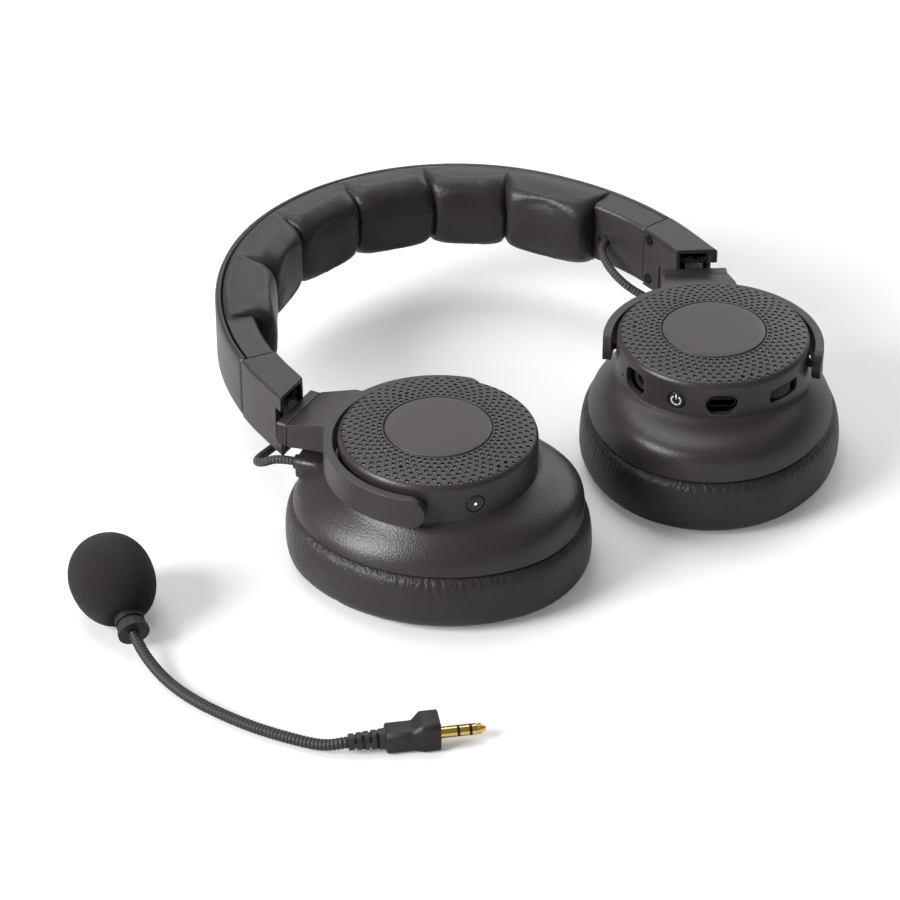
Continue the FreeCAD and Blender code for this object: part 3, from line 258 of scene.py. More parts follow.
def bumped(tree, shader, height, distance, below=None):
    """A bump whose full height is a distance in millimetres, on top of another where one is given."""
    sockets = {"Height": height, "Distance": distance * MM}
    if below is not None:
        sockets["Normal"] = below
    bump = add_node(tree, "ShaderNodeBump", sockets)
    tree.links.new(bump.outputs[0], shader.inputs["Normal"])
    return bump.outputs[0]


def noise(tree, vector, size_mm, detail=2.0, rough=0.5):
    """Noise whose lumps are about this many millimetres across."""
    sockets = {"Vector": vector, "Scale": 1 / (size_mm * MM), "Detail": detail, "Roughness": rough}
    return add_node(tree, "ShaderNodeTexNoise", sockets).outputs[0]


def moulded(name, dark, light, roughness, grain_mm, grain_depth):
    """Injection moulded plastic with a fine spark-eroded texture from its tool."""
    material, tree, shader = finish_material(name, Roughness=roughness, IOR=1.5)
    where = add_node(tree, "ShaderNodeTexCoord").outputs["Object"]
    tinted(tree, shader, noise(tree, where, 9.0, 3.0), dark, light)
    bumped(tree, shader, noise(tree, where, grain_mm, 2.0), grain_depth)
    return material


print("helpers ready")

# %% [markdown]
# ### Moulded plastics
# The case is black ABS and polycarbonate, moulded in a spark-eroded tool. Its real texture is about
# a third of a millimetre across, too fine to show from here, so it is drawn at 0.6 mm. It makes the
# shine broad and soft and gives it a faint sparkle. The discs come from a smoother tool, so they
# look a little paler under the same light. A dimple's wall lies in its own shade, so its colour is
# painted near black as painted shade; its bead is painted pale grey as a painted highlight, because
# both are only a few pixels wide.

# %% Plastics
satin_case = moulded("satin_abs_case", "#322d2c", "#383331", 0.35, 0.6, 0.11)
smooth_disc = moulded("fine_satin_abs_disc", "#393433", "#3e3937", 0.34, 0.3, 0.015)
# Painted shade: near black for the dimples' walls, where no light reaches.
painted_shade_wall = moulded("painted_shade_dimple_wall", "#0b0a0a", "#0f0e0e", 0.6, 0.5, 0.01)
# Painted highlight: pale grey for the dimples' beads, on top of their own gloss.
painted_highlight_bead = moulded("painted_highlight_dimple_bead", "#8d8986", "#a29e9b", 0.25, 0.5, 0.01)
button_cap = moulded("dark_button_cap", "#1d1a19", "#221f1e", 0.32, 0.3, 0.01)
dark_nylon = moulded("matt_nylon_hinge", "#1b1817", "#231f1e", 0.55, 0.5, 0.02)
plug_plastic = moulded("moulded_pvc_plug", "#1f1b1a", "#241f1e", 0.50, 0.4, 0.012)
PLASTICS = (satin_case, smooth_disc, painted_shade_wall, painted_highlight_bead, button_cap, dark_nylon, plug_plastic)
print("plastics:", [material.name for material in PLASTICS])

# %% [markdown]
# ### Leatherette
# The cushions and the band's pad are polyurethane leatherette: a soft skin embossed with a hide
# grain about a millimetre across. Voronoi cells give the pebbles and a finer noise their creases.

# %% Leatherette


def leatherette(name, dark, light, roughness, pebble_mm, pebble_depth, gathers=0.0):
    """Hide grain, and where gathers are wanted, upright wrinkles that grow toward the sewn edge."""
    material, tree, shader = finish_material(name, Roughness=roughness, IOR=1.45)
    shader.inputs["Sheen Weight"].default_value = 0.15
    shader.inputs["Sheen Roughness"].default_value = 0.4
    where = add_node(tree, "ShaderNodeTexCoord").outputs["Object"]
    cells = add_node(tree, "ShaderNodeTexVoronoi", {"Vector": where, "Scale": 1 / (pebble_mm * MM)},
                     feature="SMOOTH_F1")
    crease = noise(tree, where, pebble_mm * 2.5, 4.0, 0.6)
    tinted(tree, shader, noise(tree, where, 14.0, 3.0), dark, light)
    grain = bumped(tree, shader, cells.outputs["Distance"], pebble_depth)
    grain = bumped(tree, shader, crease, pebble_depth * 2.2, below=grain)
    if gathers:
        upright = add_node(tree, "ShaderNodeVectorMath", {0: where, 1: (1.0, 1.0, 0.1)},
                           operation="MULTIPLY")
        streak = noise(tree, upright.outputs[0], 1.3, 2.0)
        height = add_node(tree, "ShaderNodeSeparateXYZ", {"Vector": where}).outputs["Z"]
        near_seam = add_node(tree, "ShaderNodeMapRange",
                             {"Value": height, "From Min": 9 * MM, "From Max": 18 * MM})
        mask = add_node(tree, "ShaderNodeMath", {0: near_seam.outputs[0], 1: 2.0}, operation="POWER")
        streak = add_node(tree, "ShaderNodeMath", {0: streak, 1: mask.outputs[0]},
                          operation="MULTIPLY")
        bumped(tree, shader, streak.outputs[0], gathers, below=grain)
    return material


cushion_skin = leatherette("pu_leatherette_cushion", "#2d2827", "#34302e", 0.44, 0.75, 0.09, 0.5)
pad_skin = leatherette("pu_leatherette_pad", "#282423", "#2f2a28", 0.40, 0.8, 0.06)
print("leatherette:", cushion_skin.name, pad_skin.name)

# %% [markdown]
# ### Foam, braid, rubber and mesh
# Open-cell foam is a felt of tiny pores, so it has no shine at all. The leads have a nylon braid,
# two sets of threads that cross, which follow each lead by its UV map. The boot and the gooseneck
# are soft rubber, and a woven mesh covers each driver.

# %% Soft finishes


def foam_finish():
    """Pores about half a millimetre wide give the foam both its colour and its bumps."""
    material, tree, shader = finish_material("open_cell_foam", Roughness=1.0)
    shader.inputs["Specular IOR Level"].default_value = 0.2
    shader.inputs["Sheen Weight"].default_value = 0.08
    shader.inputs["Sheen Roughness"].default_value = 0.6
    where = add_node(tree, "ShaderNodeTexCoord").outputs["Object"]
    pores = noise(tree, where, 0.55, 3.0, 0.7)
    tinted(tree, shader, pores, "#161312", "#2e2a29")
    bumped(tree, shader, pores, 0.25)
    return material


def braid_finish(turns, pitch_mm):
    """Threads cross where two diagonal waves meet.

    One is the sine of the distance along plus the angle round the lead, the other of it minus the
    angle, and their product is the weave's height.
    """
    material, tree, shader = finish_material("nylon_braid", Roughness=0.5)
    spot = add_node(tree, "ShaderNodeUVMap", uv_map="along")
    split = add_node(tree, "ShaderNodeSeparateXYZ", {"Vector": spot.outputs[0]})
    around = add_node(tree, "ShaderNodeMath", {0: split.outputs[0], 1: 2 * np.pi * turns},
                      operation="MULTIPLY")
    along = add_node(tree, "ShaderNodeMath", {0: split.outputs[1], 1: 2 * np.pi / pitch_mm},
                     operation="MULTIPLY")
    waves = []
    for way in ("ADD", "SUBTRACT"):
        phase = add_node(tree, "ShaderNodeMath", {0: along.outputs[0], 1: around.outputs[0]},
                         operation=way)
        wave = add_node(tree, "ShaderNodeMath", {0: phase.outputs[0]}, operation="SINE")
        waves.append(wave.outputs[0])
    weave = add_node(tree, "ShaderNodeMath", {0: waves[0], 1: waves[1]}, operation="MULTIPLY")
    height = add_node(tree, "ShaderNodeMapRange",
                      {"Value": weave.outputs[0], "From Min": -1.0, "From Max": 1.0})
    tinted(tree, shader, height.outputs[0], "#141211", "#57504d")
    bumped(tree, shader, height.outputs[0], 0.25)
    return material


def mesh_finish():
    """Squarish cells about 0.8 mm wide, darker in their middles, read as a coarse weave."""
    material, tree, shader = finish_material("woven_driver_mesh", Roughness=0.8)
    where = add_node(tree, "ShaderNodeTexCoord").outputs["Object"]
    weave = add_node(tree, "ShaderNodeTexVoronoi", {"Vector": where, "Scale": 1 / (0.8 * MM)},
                     distance="CHEBYCHEV")
    tinted(tree, shader, weave.outputs["Distance"], "#0e0d0d", "#2d2a29")
    bumped(tree, shader, weave.outputs["Distance"], 0.1)
    return material


foam_black = foam_finish()
nylon_braid = braid_finish(6, 2.4)
driver_mesh = mesh_finish()
soft_rubber = moulded("soft_tpe_rubber", "#2c2927", "#35312f", 0.50, 0.6, 0.01)
print("soft finishes:", foam_black.name, nylon_braid.name, driver_mesh.name, soft_rubber.name)

# %% [markdown]
# ### Metals, board, cell and print
# Gold plating on the plug, spring steel in the sliders, blackened steel on the pins and screws.
# The board and the cell are hidden, but they get the finish they would have.

# %% Metals and the rest


def metal(name, colour, roughness, grain_mm, depth):
    """A bare or plated metal whose faint scratches move its colour between two tones."""
    material, tree, shader = finish_material(name, Metallic=1.0, Roughness=roughness)
    where = add_node(tree, "ShaderNodeTexCoord").outputs["Object"]
    scratch = noise(tree, where, grain_mm, 3.0)
    tinted(tree, shader, scratch, colour[0], colour[1])
    bumped(tree, shader, scratch, depth)
    return material


gold_plate = metal("gold_plating", ("#e8bf62", "#f4d283"), 0.16, 2.0, 0.002)
spring_steel = metal("brushed_spring_steel", ("#9a9a98", "#b4b4b2"), 0.30, 0.4, 0.004)
black_steel = metal("blackened_steel", ("#232120", "#343130"), 0.35, 0.5, 0.004)
port_steel = metal("black_nickel_port", ("#2c2a29", "#3a3836"), 0.34, 1.0, 0.002)
black_plug_ring = moulded("plug_insulator_nylon", "#100f0f", "#171515", 0.35, 0.5, 0.002)
board_mask = moulded("black_solder_mask", "#121413", "#191c1a", 0.35, 0.8, 0.01)
cell_foil = metal("battery_pouch_foil", ("#8d9094", "#9da0a4"), 0.42, 3.0, 0.02)


def print_finish(name, code, glow):
    """White pad print, or with some glow a small lit lens."""
    material, tree, shader = finish_material(name, Roughness=0.5)
    where = add_node(tree, "ShaderNodeTexCoord").outputs["Object"]
    tinted(tree, shader, noise(tree, where, 0.4, 2.0), code, "#ffffff")
    shader.inputs["Emission Color"].default_value = linear("#ffffff")
    shader.inputs["Emission Strength"].default_value = glow
    return material


white_print = print_finish("white_pad_print", "#dcdad8", 0.0)
white_light = print_finish("white_status_light", "#f4f4f4", 0.9)
METALS = (gold_plate, spring_steel, black_steel, port_steel)
print("metals:", [material.name for material in METALS])

# %% [markdown]
# ## Cup shell
# The shell is a round drum with a domed, perforated top that flares into the ear's oval. It is one
# moulding with two skins: the outer one carries the dimples and the ports, the inner one follows
# it two millimetres inside. Every ring has 224 points, four for each of the 56 dimples in a ring,
# so dimples in alternate rings shift by half a cell and still share their corners.

# %% Cup sizes, in millimetres
COLUMNS = 224
SEAM_Z = 20.5
OVAL_A, OVAL_B, OVAL_K = 46.7, 40.35, 0.6
DRUM_R = 31.5
DRUM_Z = 34.6
DISC_R, DISC_GROOVE = 16.9, 0.35
TOP_Z = 49.4
CROWN_R = 250.0
EDGE_R = 2.2
WALL = 2.0
BELL_EASE = 1.25
BELL_FULL = 3.7
WALL_LOW = 35.4
PORT_Z = 40.3

CUP_ANGLES = 2 * np.pi * np.arange(COLUMNS) / COLUMNS
DUCT = DISC_R + DISC_GROOVE


def oval_radius(angle, half_a, half_b):
    """Distance to an oval of four tangent arcs.

    The end arcs have their centres on the long axis and the side arcs on the short one, and they
    meet where both centres lie on one line with the point.
    """
    extra = np.maximum(half_a - half_b, 1e-4)
    end_x = (1 + OVAL_K) * extra
    side_y = extra * (1 + 2 * OVAL_K) / (2 * OVAL_K)
    end_r = half_b - OVAL_K * extra
    side_r = half_b + side_y
    c, s = np.abs(np.cos(angle)), np.abs(np.sin(angle))
    turn = np.arctan2(side_y, end_x)
    joint = np.arctan2(end_r * np.sin(turn), end_x + end_r * np.cos(turn))
    on_end = end_x * c + np.sqrt(np.maximum(end_r ** 2 - (end_x * s) ** 2, 0))
    on_side = -side_y * s + np.sqrt(side_r ** 2 - (side_y * c) ** 2)
    return np.where(np.arctan2(s, c) <= joint, on_end, on_side)


def oval_rings(sizes, angles):
    """One ring for each (long half axis, short half axis, height, shift away from the hinge)."""
    half_a, half_b, z, shift = np.asarray(sizes, float).T[:, :, None]
    radius = oval_radius(angles[None, :], half_a, half_b)
    return np.stack([radius * np.cos(angles) - shift, radius * np.sin(angles), z + 0 * radius], -1)


def crown_z(radius):
    """Height of the domed top: it falls with the square of the radius."""
    return TOP_Z + (DUCT ** 2 - radius ** 2) / (2 * CROWN_R)


EDGE_TURN = np.radians(83.3)
EDGE_MEET = DRUM_R - EDGE_R + EDGE_R * np.cos(EDGE_TURN)
EDGE_Z = crown_z(EDGE_MEET) - EDGE_R * np.sin(EDGE_TURN)


def top_z(radius):
    """Height of the outer skin over a radius: the dome, then the quarter round at its edge."""
    rim = np.sqrt(np.maximum(EDGE_R ** 2 - (radius - DRUM_R + EDGE_R) ** 2, 0))
    return np.where(radius <= EDGE_MEET, crown_z(radius), EDGE_Z + rim)


print("edge round starts at z %.2f and meets the dome at r %.2f" % (EDGE_Z, EDGE_MEET))

# %% [markdown]
# ### Dimples
# A dimple is a blind hole a little over a millimetre wide, with a small glossy bead at its bottom,
# painted pale grey as a painted highlight. Its cell has sixteen points on its border and the hole's
# rings have sixteen too. The wall is painted near black as painted shade, since no light reaches it,
# and it draws the dark dots that the eye sees. A few holes go through: they are deeper, and look black.

# %% Dimples in rings
RINGS = 7
PER_RING = 56
RING_R = 18.4
RING_STEP = 1.87
HOLE_R = 0.67
# From the rim inward, each ring's radius past the hole's own and its depth below the skin.
HOLE_STEPS = ((0.05, 0.0), (0.0, 0.04), (-0.02, 0.44), (-0.29, 0.48), (-0.37, 0.38), (-0.5, 0.3))
# Faces from the WALL_STEP ring on get the painted shade, and from the BEAD_STEP ring on the painted
# highlight.
WALL_STEP, BEAD_STEP = 2, 4
THROUGH_DEEPER = 3.0
PERF_OUT = RING_R + (RINGS - 0.5) * RING_STEP
PERF_IN = RING_R - 0.5 * RING_STEP
# Each hole that goes through, by its ring and its direction in degrees.
THROUGH = ((2, 40.0), (2, 46.5), (5, 203.0), (5, 209.0), (3, 280.0), (4, 86.0), (4, 92.5))


def add_dimples(sheet, border):
    """Joins each cell's border to the rings of its hole and returns the walls' and beads' faces.

    The border is a grid of point numbers with four steps to a cell, its rows going inward from the
    rim. A hole's ring is a circle laid on the top: a point's radius is the cell's plus the size
    times a sine, and its direction the cell's plus the size times a cosine over the cell's radius.
    """
    ring, cell = np.meshgrid(np.arange(RINGS), np.arange(PER_RING), indexing="ij")
    row = (RINGS - 1 - ring) * 4
    column = 4 * cell + 2 * (ring % 2)
    out, along = np.arange(4), np.arange(4)
    rows = np.concatenate([0 * along, out, 0 * along + 4, 4 - out])
    columns = np.concatenate([along, 0 * out + 4, 4 - along, 0 * out])
    loop = border[row[..., None] + rows, (column[..., None] + columns) % COLUMNS]
    middle = 2 * np.pi * (column + 2) / COLUMNS
    radius = RING_R + ring * RING_STEP
    corner = np.radians(135 - 22.5 * np.arange(16))
    through = np.zeros(ring.shape, bool)
    for which, degrees in THROUGH:
        nearest = np.argmin(np.abs(np.angle(np.exp(1j * (middle[which] - np.radians(degrees))))))
        through[which, nearest] = True
    deep = np.where(through, THROUGH_DEEPER, 1.0)[..., None]
    before, starts = loop, []
    for grow, sink in HOLE_STEPS:
        size = HOLE_R + grow
        out_r = radius[..., None] + size * np.sin(corner)
        turn = middle[..., None] + size * np.cos(corner) / radius[..., None]
        points = np.stack([out_r * np.cos(turn), out_r * np.sin(turn), top_z(out_r) - sink * deep], -1)
        ids = sheet.add(points)
        starts.append(len(sheet.faces))
        sheet.bridge(before.reshape(-1, 16), ids.reshape(-1, 16))
        before = ids
    sheet.cap(before.reshape(-1, 16))
    return slice(starts[WALL_STEP], starts[BEAD_STEP]), slice(starts[BEAD_STEP], len(sheet.faces))


print("dimples per cup:", RINGS * PER_RING)

# %% [markdown]
# ### Ports
# A port replaces a window of the drum's grid. Rings run from the window's border to the port's
# rounded outline, over a small round edge, and through the wall to the inner skin, which has the
# same window. Points are matched by their direction from the port's centre.

# %% Ports in the drum wall
POWER_ANGLE, MUTE_ANGLE = 164.2, 233.0
# Each port's name, angle in degrees, width, height, corner and height above the table.
PORTS = {
    "left": (("jack", 132.7, 9.5, 8.2, 3.0, PORT_Z), ("power", POWER_ANGLE, 6.1, 6.1, 3.04, PORT_Z),
             ("usb", 191.7, 10.2, 6.8, 3.39, PORT_Z), ("wheel", 233.7, 12.6, 4.6, 0.6, PORT_Z),
             ("pinhole", 118.7, 1.0, 1.0, 0.49, PORT_Z - 2.0)),
    "right": (("mute", MUTE_ANGLE, 6.1, 6.1, 3.04, PORT_Z),),
}
WALL_ROWS = np.linspace(WALL_LOW, EDGE_Z, 13)
# A port's rings: the share of the way from the window to the outline, the margin, and the sink.
PORT_OUTSIDE = ((0.5, 0.5, 0.0), (1.0, 0.3, 0.0), (1.0, 0.08, 0.07), (1.0, 0.0, 0.3))
PORT_INSIDE = ((0.5, 0.3, 0.0), (1.0, 0.0, 0.0))
# Free columns and rows that a window keeps round its port, in degrees and millimetres.
WINDOW_SIDE, WINDOW_EDGE = 2.2, 0.7


def rounded_outline(angle, width, height, corner):
    """Distance from the centre to a rounded rectangle.

    The ray ends on a straight side, or on the far crossing of a corner's circle.
    """
    c, s = np.abs(np.cos(angle)) + 1e-9, np.abs(np.sin(angle)) + 1e-9
    x, y = width / 2 - corner, height / 2 - corner
    reach = x * c + y * s
    on_corner = reach + np.sqrt(np.maximum(reach ** 2 - (x * x + y * y - corner ** 2), 0))
    on_side = (width / 2) / c
    on_top = (height / 2) / s
    return np.where(on_side * s <= y, on_side, np.where(on_top * c <= x, on_top, on_corner))


def port_window(port):
    """The rows and columns of the drum's grid that a port takes."""
    _, angle, width, height, _, z = port
    step = 360.0 / COLUMNS
    reach = np.degrees(width / 2 / DRUM_R) + WINDOW_SIDE
    first = int(np.floor((angle - reach) / step))
    last = int(np.ceil((angle + reach) / step))
    low = np.searchsorted(WALL_ROWS, z - height / 2 - WINDOW_EDGE, side="right") - 1
    high = np.searchsorted(WALL_ROWS, z + height / 2 + WINDOW_EDGE)
    return max(low, 0), min(high, len(WALL_ROWS) - 1), first, last


def window_border(ids, window):
    """The loop of point numbers round a window, anticlockwise from outside."""
    low, high, first, last = window
    across, up = np.arange(first, last), np.arange(low, high)
    rows = np.concatenate([0 * across + low, up, 0 * across + high, up[::-1] + 1])
    columns = np.concatenate([across, 0 * up + last, across[::-1] + 1, 0 * up + first])
    return ids[rows, columns % COLUMNS], rows, columns


def on_drum(across, up, angle, radius, sink):
    """A point beside the port's middle, on a drum of this radius or sunk below it."""
    out = np.sqrt(radius ** 2 - across ** 2) - sink
    turn = np.radians(angle)
    x = out * np.cos(turn) - across * np.sin(turn)
    y = out * np.sin(turn) + across * np.cos(turn)
    return np.stack([x, y, up], -1)


def add_port(sheet, ids, port, radius, outside):
    """Rings from the window's border to the port's outline; returns the last ring."""
    _, angle, width, height, corner, z = port
    border, rows, columns = window_border(ids, port_window(port))
    turn = 2 * np.pi * columns / COLUMNS - np.radians(angle)
    across, up = radius * np.sin(turn), WALL_ROWS[rows] - z
    way = np.arctan2(up, across)
    before = border
    for share, grow, sink in PORT_OUTSIDE if outside else PORT_INSIDE:
        edge = rounded_outline(way, width + 2 * grow, height + 2 * grow, corner + grow)
        a = across + (edge * np.cos(way) - across) * share
        b = up + (edge * np.sin(way) - up) * share
        ring = sheet.add(on_drum(a, b + z, angle, radius, sink))
        sheet.bridge(*((before, ring) if outside else (ring, before)))
        before = ring
    return before


print("port windows:", [port_window(p) for p in PORTS["left"]])

# %% [markdown]
# ### The flare
# From the drum the skirt flares to the seam's oval. The share of the flare that is done grows with
# a sine raised to a power. At the end away from the hinge it comes sooner and makes a full
# shoulder, so each ring is also shifted that way. Averaging neighbouring points a few times rounds
# the inner corner where the flare leaves the drum.

# %% The flare's sizes
BELL_ROWS = 44


def bell_share(fall):
    """The share of the flare that is done: the sine of a quarter turn's part, raised to a power."""
    return np.sin(np.pi / 2 * fall) ** BELL_EASE


def bell_sizes(inset, rows):
    """Sizes of the flare's rings from the seam up to the drum, in even steps along the fuller end."""
    fall = np.linspace(0, 1, 160) ** 1.6
    near, far = bell_share(fall), bell_share(1 - (1 - fall) ** BELL_FULL)
    shift = (OVAL_A - DRUM_R) * (far - near) / 2
    a = DRUM_R + (OVAL_A - DRUM_R) * (near + far) / 2
    b = DRUM_R + (OVAL_B - DRUM_R) * near
    sizes = np.stack([a, b, DRUM_Z + (SEAM_Z - DRUM_Z) * fall, shift], -1)
    sizes = np.concatenate([[(DRUM_R, DRUM_R, WALL_LOW, 0)], sizes])
    steps = np.hypot(np.diff(sizes[:, 0] + sizes[:, 3]), np.diff(sizes[:, 2]))
    run = np.concatenate([[0], np.cumsum(steps)])
    share = np.linspace(0, 1, rows)
    sizes = np.stack([np.interp(share * run[-1], run, column) for column in sizes.T], -1)
    for _ in range(rows // 2):
        sizes[1:-1] = (sizes[:-2] + 2 * sizes[1:-1] + sizes[2:]) / 4
    sizes -= inset * np.stack([1 + 0 * share, 1 + 0 * share, 0.6 * np.sin(np.pi * share), 0 * share], -1)
    return sizes[::-1]


print("flare from %.1f to %.1f mm high" % (WALL_LOW, SEAM_Z))

# %% [markdown]
# ### The shell in one mesh
# Both skins are lofted ring by ring: foot, flare, drum, round edge, dimpled top and the disc's
# recess outside, then the roof, the wall and the flare inside, back to the foot. The windows are
# left open and filled by the ports, which join the two skins, so the shell is closed.

# %% The shell itself
FOOT = ((WALL, 0), (0.45, 0), (0.12, 0.1))
RECESS_DEPTH = 1.2
ROOF_ROUND = 0.8
EDGE_RINGS = 7
INNER_ROWS = 16


def make_cup_shell(side_name, side):
    """The outer skin from the foot up, the inner one down again, and the ports between them."""
    sheet = Sheet()
    ports = PORTS[side_name]
    foot = [(OVAL_A - inset, OVAL_B - inset, SEAM_Z + up, 0) for inset, up in FOOT]
    wall = [(DRUM_R, DRUM_R, z, 0) for z in WALL_ROWS]
    lower = sheet.add(oval_rings([*foot, *bell_sizes(0, BELL_ROWS)[1:-1], *wall], CUP_ANGLES))
    first_wall = len(lower) - len(WALL_ROWS)
    keep = np.ones((len(lower) - 1, COLUMNS), bool)
    for port in ports:
        low, high, first, last = port_window(port)
        keep[first_wall + low:first_wall + high, np.arange(first, last) % COLUMNS] = False
    sheet.loft(lower, keep)
    turn_end = np.arccos((PERF_OUT - DRUM_R + EDGE_R) / EDGE_R)
    turns = np.linspace(0, turn_end, EDGE_RINGS)[1:-1]
    edge_r, edge_z = DRUM_R - EDGE_R + EDGE_R * np.cos(turns), EDGE_Z + EDGE_R * np.sin(turns)
    round_edge = sheet.add(turned_rings(np.stack([edge_r, edge_z], -1), COLUMNS))
    radii = np.linspace(PERF_OUT, PERF_IN, 4 * RINGS + 1)
    border = sheet.add(turned_rings(np.stack([radii, top_z(radii)], -1), COLUMNS))
    sheet.loft(np.concatenate([lower[-1:], round_edge, border[:1]]))
    wall_faces, bead_faces = add_dimples(sheet, border)
    floor = TOP_Z - RECESS_DEPTH
    profile = [(DUCT + 0.1, TOP_Z), (DUCT, TOP_Z - 0.1), (DUCT, floor), (8.0, floor), (0.4, floor)]
    recess = sheet.add(turned_rings(profile, COLUMNS))
    sheet.loft(np.concatenate([border[-1:], recess]))
    sheet.cap(recess[-1])
    inner_r = DRUM_R - WALL
    roof_edge = crown_z(inner_r) - WALL
    profile = [(0.4, TOP_Z - WALL), (16.9, TOP_Z - WALL), (24.0, crown_z(24.0) - WALL),
               (inner_r - ROOF_ROUND, roof_edge), (inner_r, roof_edge - ROOF_ROUND)]
    roof = sheet.add(turned_rings(profile, COLUMNS))
    inner_wall = [(inner_r, inner_r, z, 0) for z in WALL_ROWS[::-1]]
    inner_flare = bell_sizes(WALL, INNER_ROWS)[-2:0:-1]
    inner = sheet.add(oval_rings([*inner_wall, *inner_flare], CUP_ANGLES))
    inner = np.concatenate([inner, lower[:1]])
    keep = np.ones((len(inner) - 1, COLUMNS), bool)
    for port in ports:
        low, high, first, last = port_window(port)
        rows = len(WALL_ROWS) - 1 - np.arange(low, high) - 1
        keep[rows[:, None], np.arange(first, last) % COLUMNS] = False
    sheet.cap(roof[0], flip=True)
    sheet.loft(np.concatenate([roof, inner[:1]]))
    sheet.loft(inner, keep)
    for port in ports:
        outer_ring = add_port(sheet, lower[first_wall:], port, DRUM_R, True)
        inner_ring = add_port(sheet, inner[:len(WALL_ROWS)][::-1], port, inner_r, False)
        sheet.bridge(outer_ring, inner_ring)
    shell = make_piece(side_name + "_cup_shell_moulding", sheet, in_cup, side)
    shell.data.set_sharp_from_angle(angle=np.radians(30))
    # Slot 1, near black, is painted shade on the dimples' walls; slot 2, pale grey, is a painted highlight
    # on their beads.
    slots = np.zeros(len(sheet.faces), int)
    slots[wall_faces], slots[bead_faces] = 1, 2
    for material in (satin_case, painted_shade_wall, painted_highlight_bead):
        shell.data.materials.append(material)
    shell.data.polygons.foreach_set("material_index", slots)
    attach(shell, side_name + "_cup")
    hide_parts(side_name + "_cup_shell")
    return shell


SIDES = {"left": 1, "right": -1}
shells = {name: make_cup_shell(name, side) for name, side in SIDES.items()}
print({name: len(shell.data.polygons) for name, shell in shells.items()})

# %% [markdown]
# ### Lead boss
# A small block on the skirt takes the lead's collar. Its section is a rounded rectangle, carried
# straight into the cup, with a short round at its outer end.

# %% Lead bosses
ENTRY_TURN = np.radians(3.0)
ENTRY_R = OVAL_A + 1.5
ENTRY_Z = 26.0


def in_boss(points, side=1):
    """From a frame with +X into the cup, its origin at the lead's end."""
    entry = np.array([ENTRY_R * np.cos(ENTRY_TURN), ENTRY_R * np.sin(ENTRY_TURN), ENTRY_Z])
    return in_cup(turned(points, ENTRY_TURN + np.pi) + entry, side)


def rounded_bar_rings(stations, count=48):
    """Rings across X: each station is (x, width, height, corner, middle height)."""
    angle = 2 * np.pi * (np.arange(count) + 0.5) / count
    x, width, height, corner, up = np.asarray(stations, float).T[:, :, None]
    reach = rounded_outline(angle[None, :], width, height, corner)
    return np.stack([x + 0 * reach, reach * np.cos(angle), reach * np.sin(angle) + up], -1)


def make_boss(side_name, side):
    """Stations from the boss's outer end into the skirt, the first three rounding its edge."""
    stations = [(1.5, 7.6, 6.0, 1.6, 0), (1.62, 8.5, 6.9, 1.8, 0), (1.95, 9.0, 7.4, 1.9, 0),
                (8.0, 9.0, 7.4, 1.9, 0), (12.5, 9.0, 7.4, 1.9, 0)]
    boss = make_piece(side_name + "_lead_boss", closed_tube(rounded_bar_rings(stations)), in_boss, side)
    boss.data.materials.append(satin_case)
    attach(boss, side_name + "_cup")
    return boss


bosses = [make_boss(name, side) for name, side in SIDES.items()]
print("bosses:", [b.name for b in bosses])

# %% [markdown]
# ### Centre discs
# A plain disc sits in each recess, with a thin dark gap round it. Its face is very slightly domed
# and its rim has a small chamfer that catches the light.

# %% Centre discs


def make_disc(side_name, side):
    """A profile from the foot's middle out, over the chamfer and in across the face, turned round."""
    top, foot = TOP_Z + 0.3, TOP_Z - 1.1
    profile = [(0.3, foot), (DISC_R, foot), (DISC_R, top - 0.42), (DISC_R - 0.08, top - 0.3),
               (DISC_R - 0.3, top - 0.17), (DISC_R - 0.6, top - 0.12), (DISC_R - 3, top - 0.08),
               (8, top - 0.02), (0.3, top)]
    disc = make_piece(side_name + "_disc", closed_tube(turned_rings(profile, 160)), in_cup, side)
    disc.data.materials.append(smooth_disc)
    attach(disc, side_name + "_cup")
    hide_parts(side_name + "_centre_disc")
    return disc


discs = [make_disc(name, side) for name, side in SIDES.items()]
print("discs:", [d.name for d in discs])

# %% [markdown]
# ## Ear cushions
# A cushion is a soft ring under leatherette that is stretched over foam and sewn at the top. The
# surface is the cup's oval, grown by a smooth profile. At the sewn edge the skin gathers into fine
# creases, which are waves round the ring with seeded phases. A short cloth simulation then settles
# the skin: air pressure fills the ring, the sewn edges and the foot are pinned, and the skin is a
# little larger than the ring it covers.

# %% Cushion shape
CUSHION_OUT = ((-0.9, 20.15), (1.2, 18.5), (2.2, 13.5), (2.3, 7.5), (1.3, 3.4), (-1.4, 1.1),
               (-5.4, 0.1), (-9.5, -0.1))
CUSHION_IN = ((-13.8, 0.3), (-16.6, 2.2), (-18.2, 6.0), (-18.6, 11.0), (-18.0, 15.5), (-17.2, 18.6))
CUSHION_ROWS = 46
CUSHION_ANGLES = 2 * np.pi * np.arange(420) / 420
GATHER_DEPTH, GATHER_Z, GATHER_REACH = 0.10, 18.2, 1.5
BROAD_DEPTH, BROAD_Z, BROAD_REACH = 0.12, 10, 6
CLOTH_FRAMES = 20
CLOTH_SCALE = 10


def cushion_rings():
    """The profile goes down the outside, under the ring, up its inside and across the hidden seat."""
    profile = smooth_through(CUSHION_OUT + CUSHION_IN, CUSHION_ROWS)
    seat = np.array([(-15.0, 18.7), (-8.0, 18.7), (-2.0, 18.7), (-1.4, 19.6)])
    profile = np.concatenate([profile, seat])
    out, z = profile[:, 0], np.maximum(profile[:, 1], 0.02)
    return oval_rings(np.stack([OVAL_A + out, OVAL_B + out, z, 0 * out], -1), CUSHION_ANGLES)


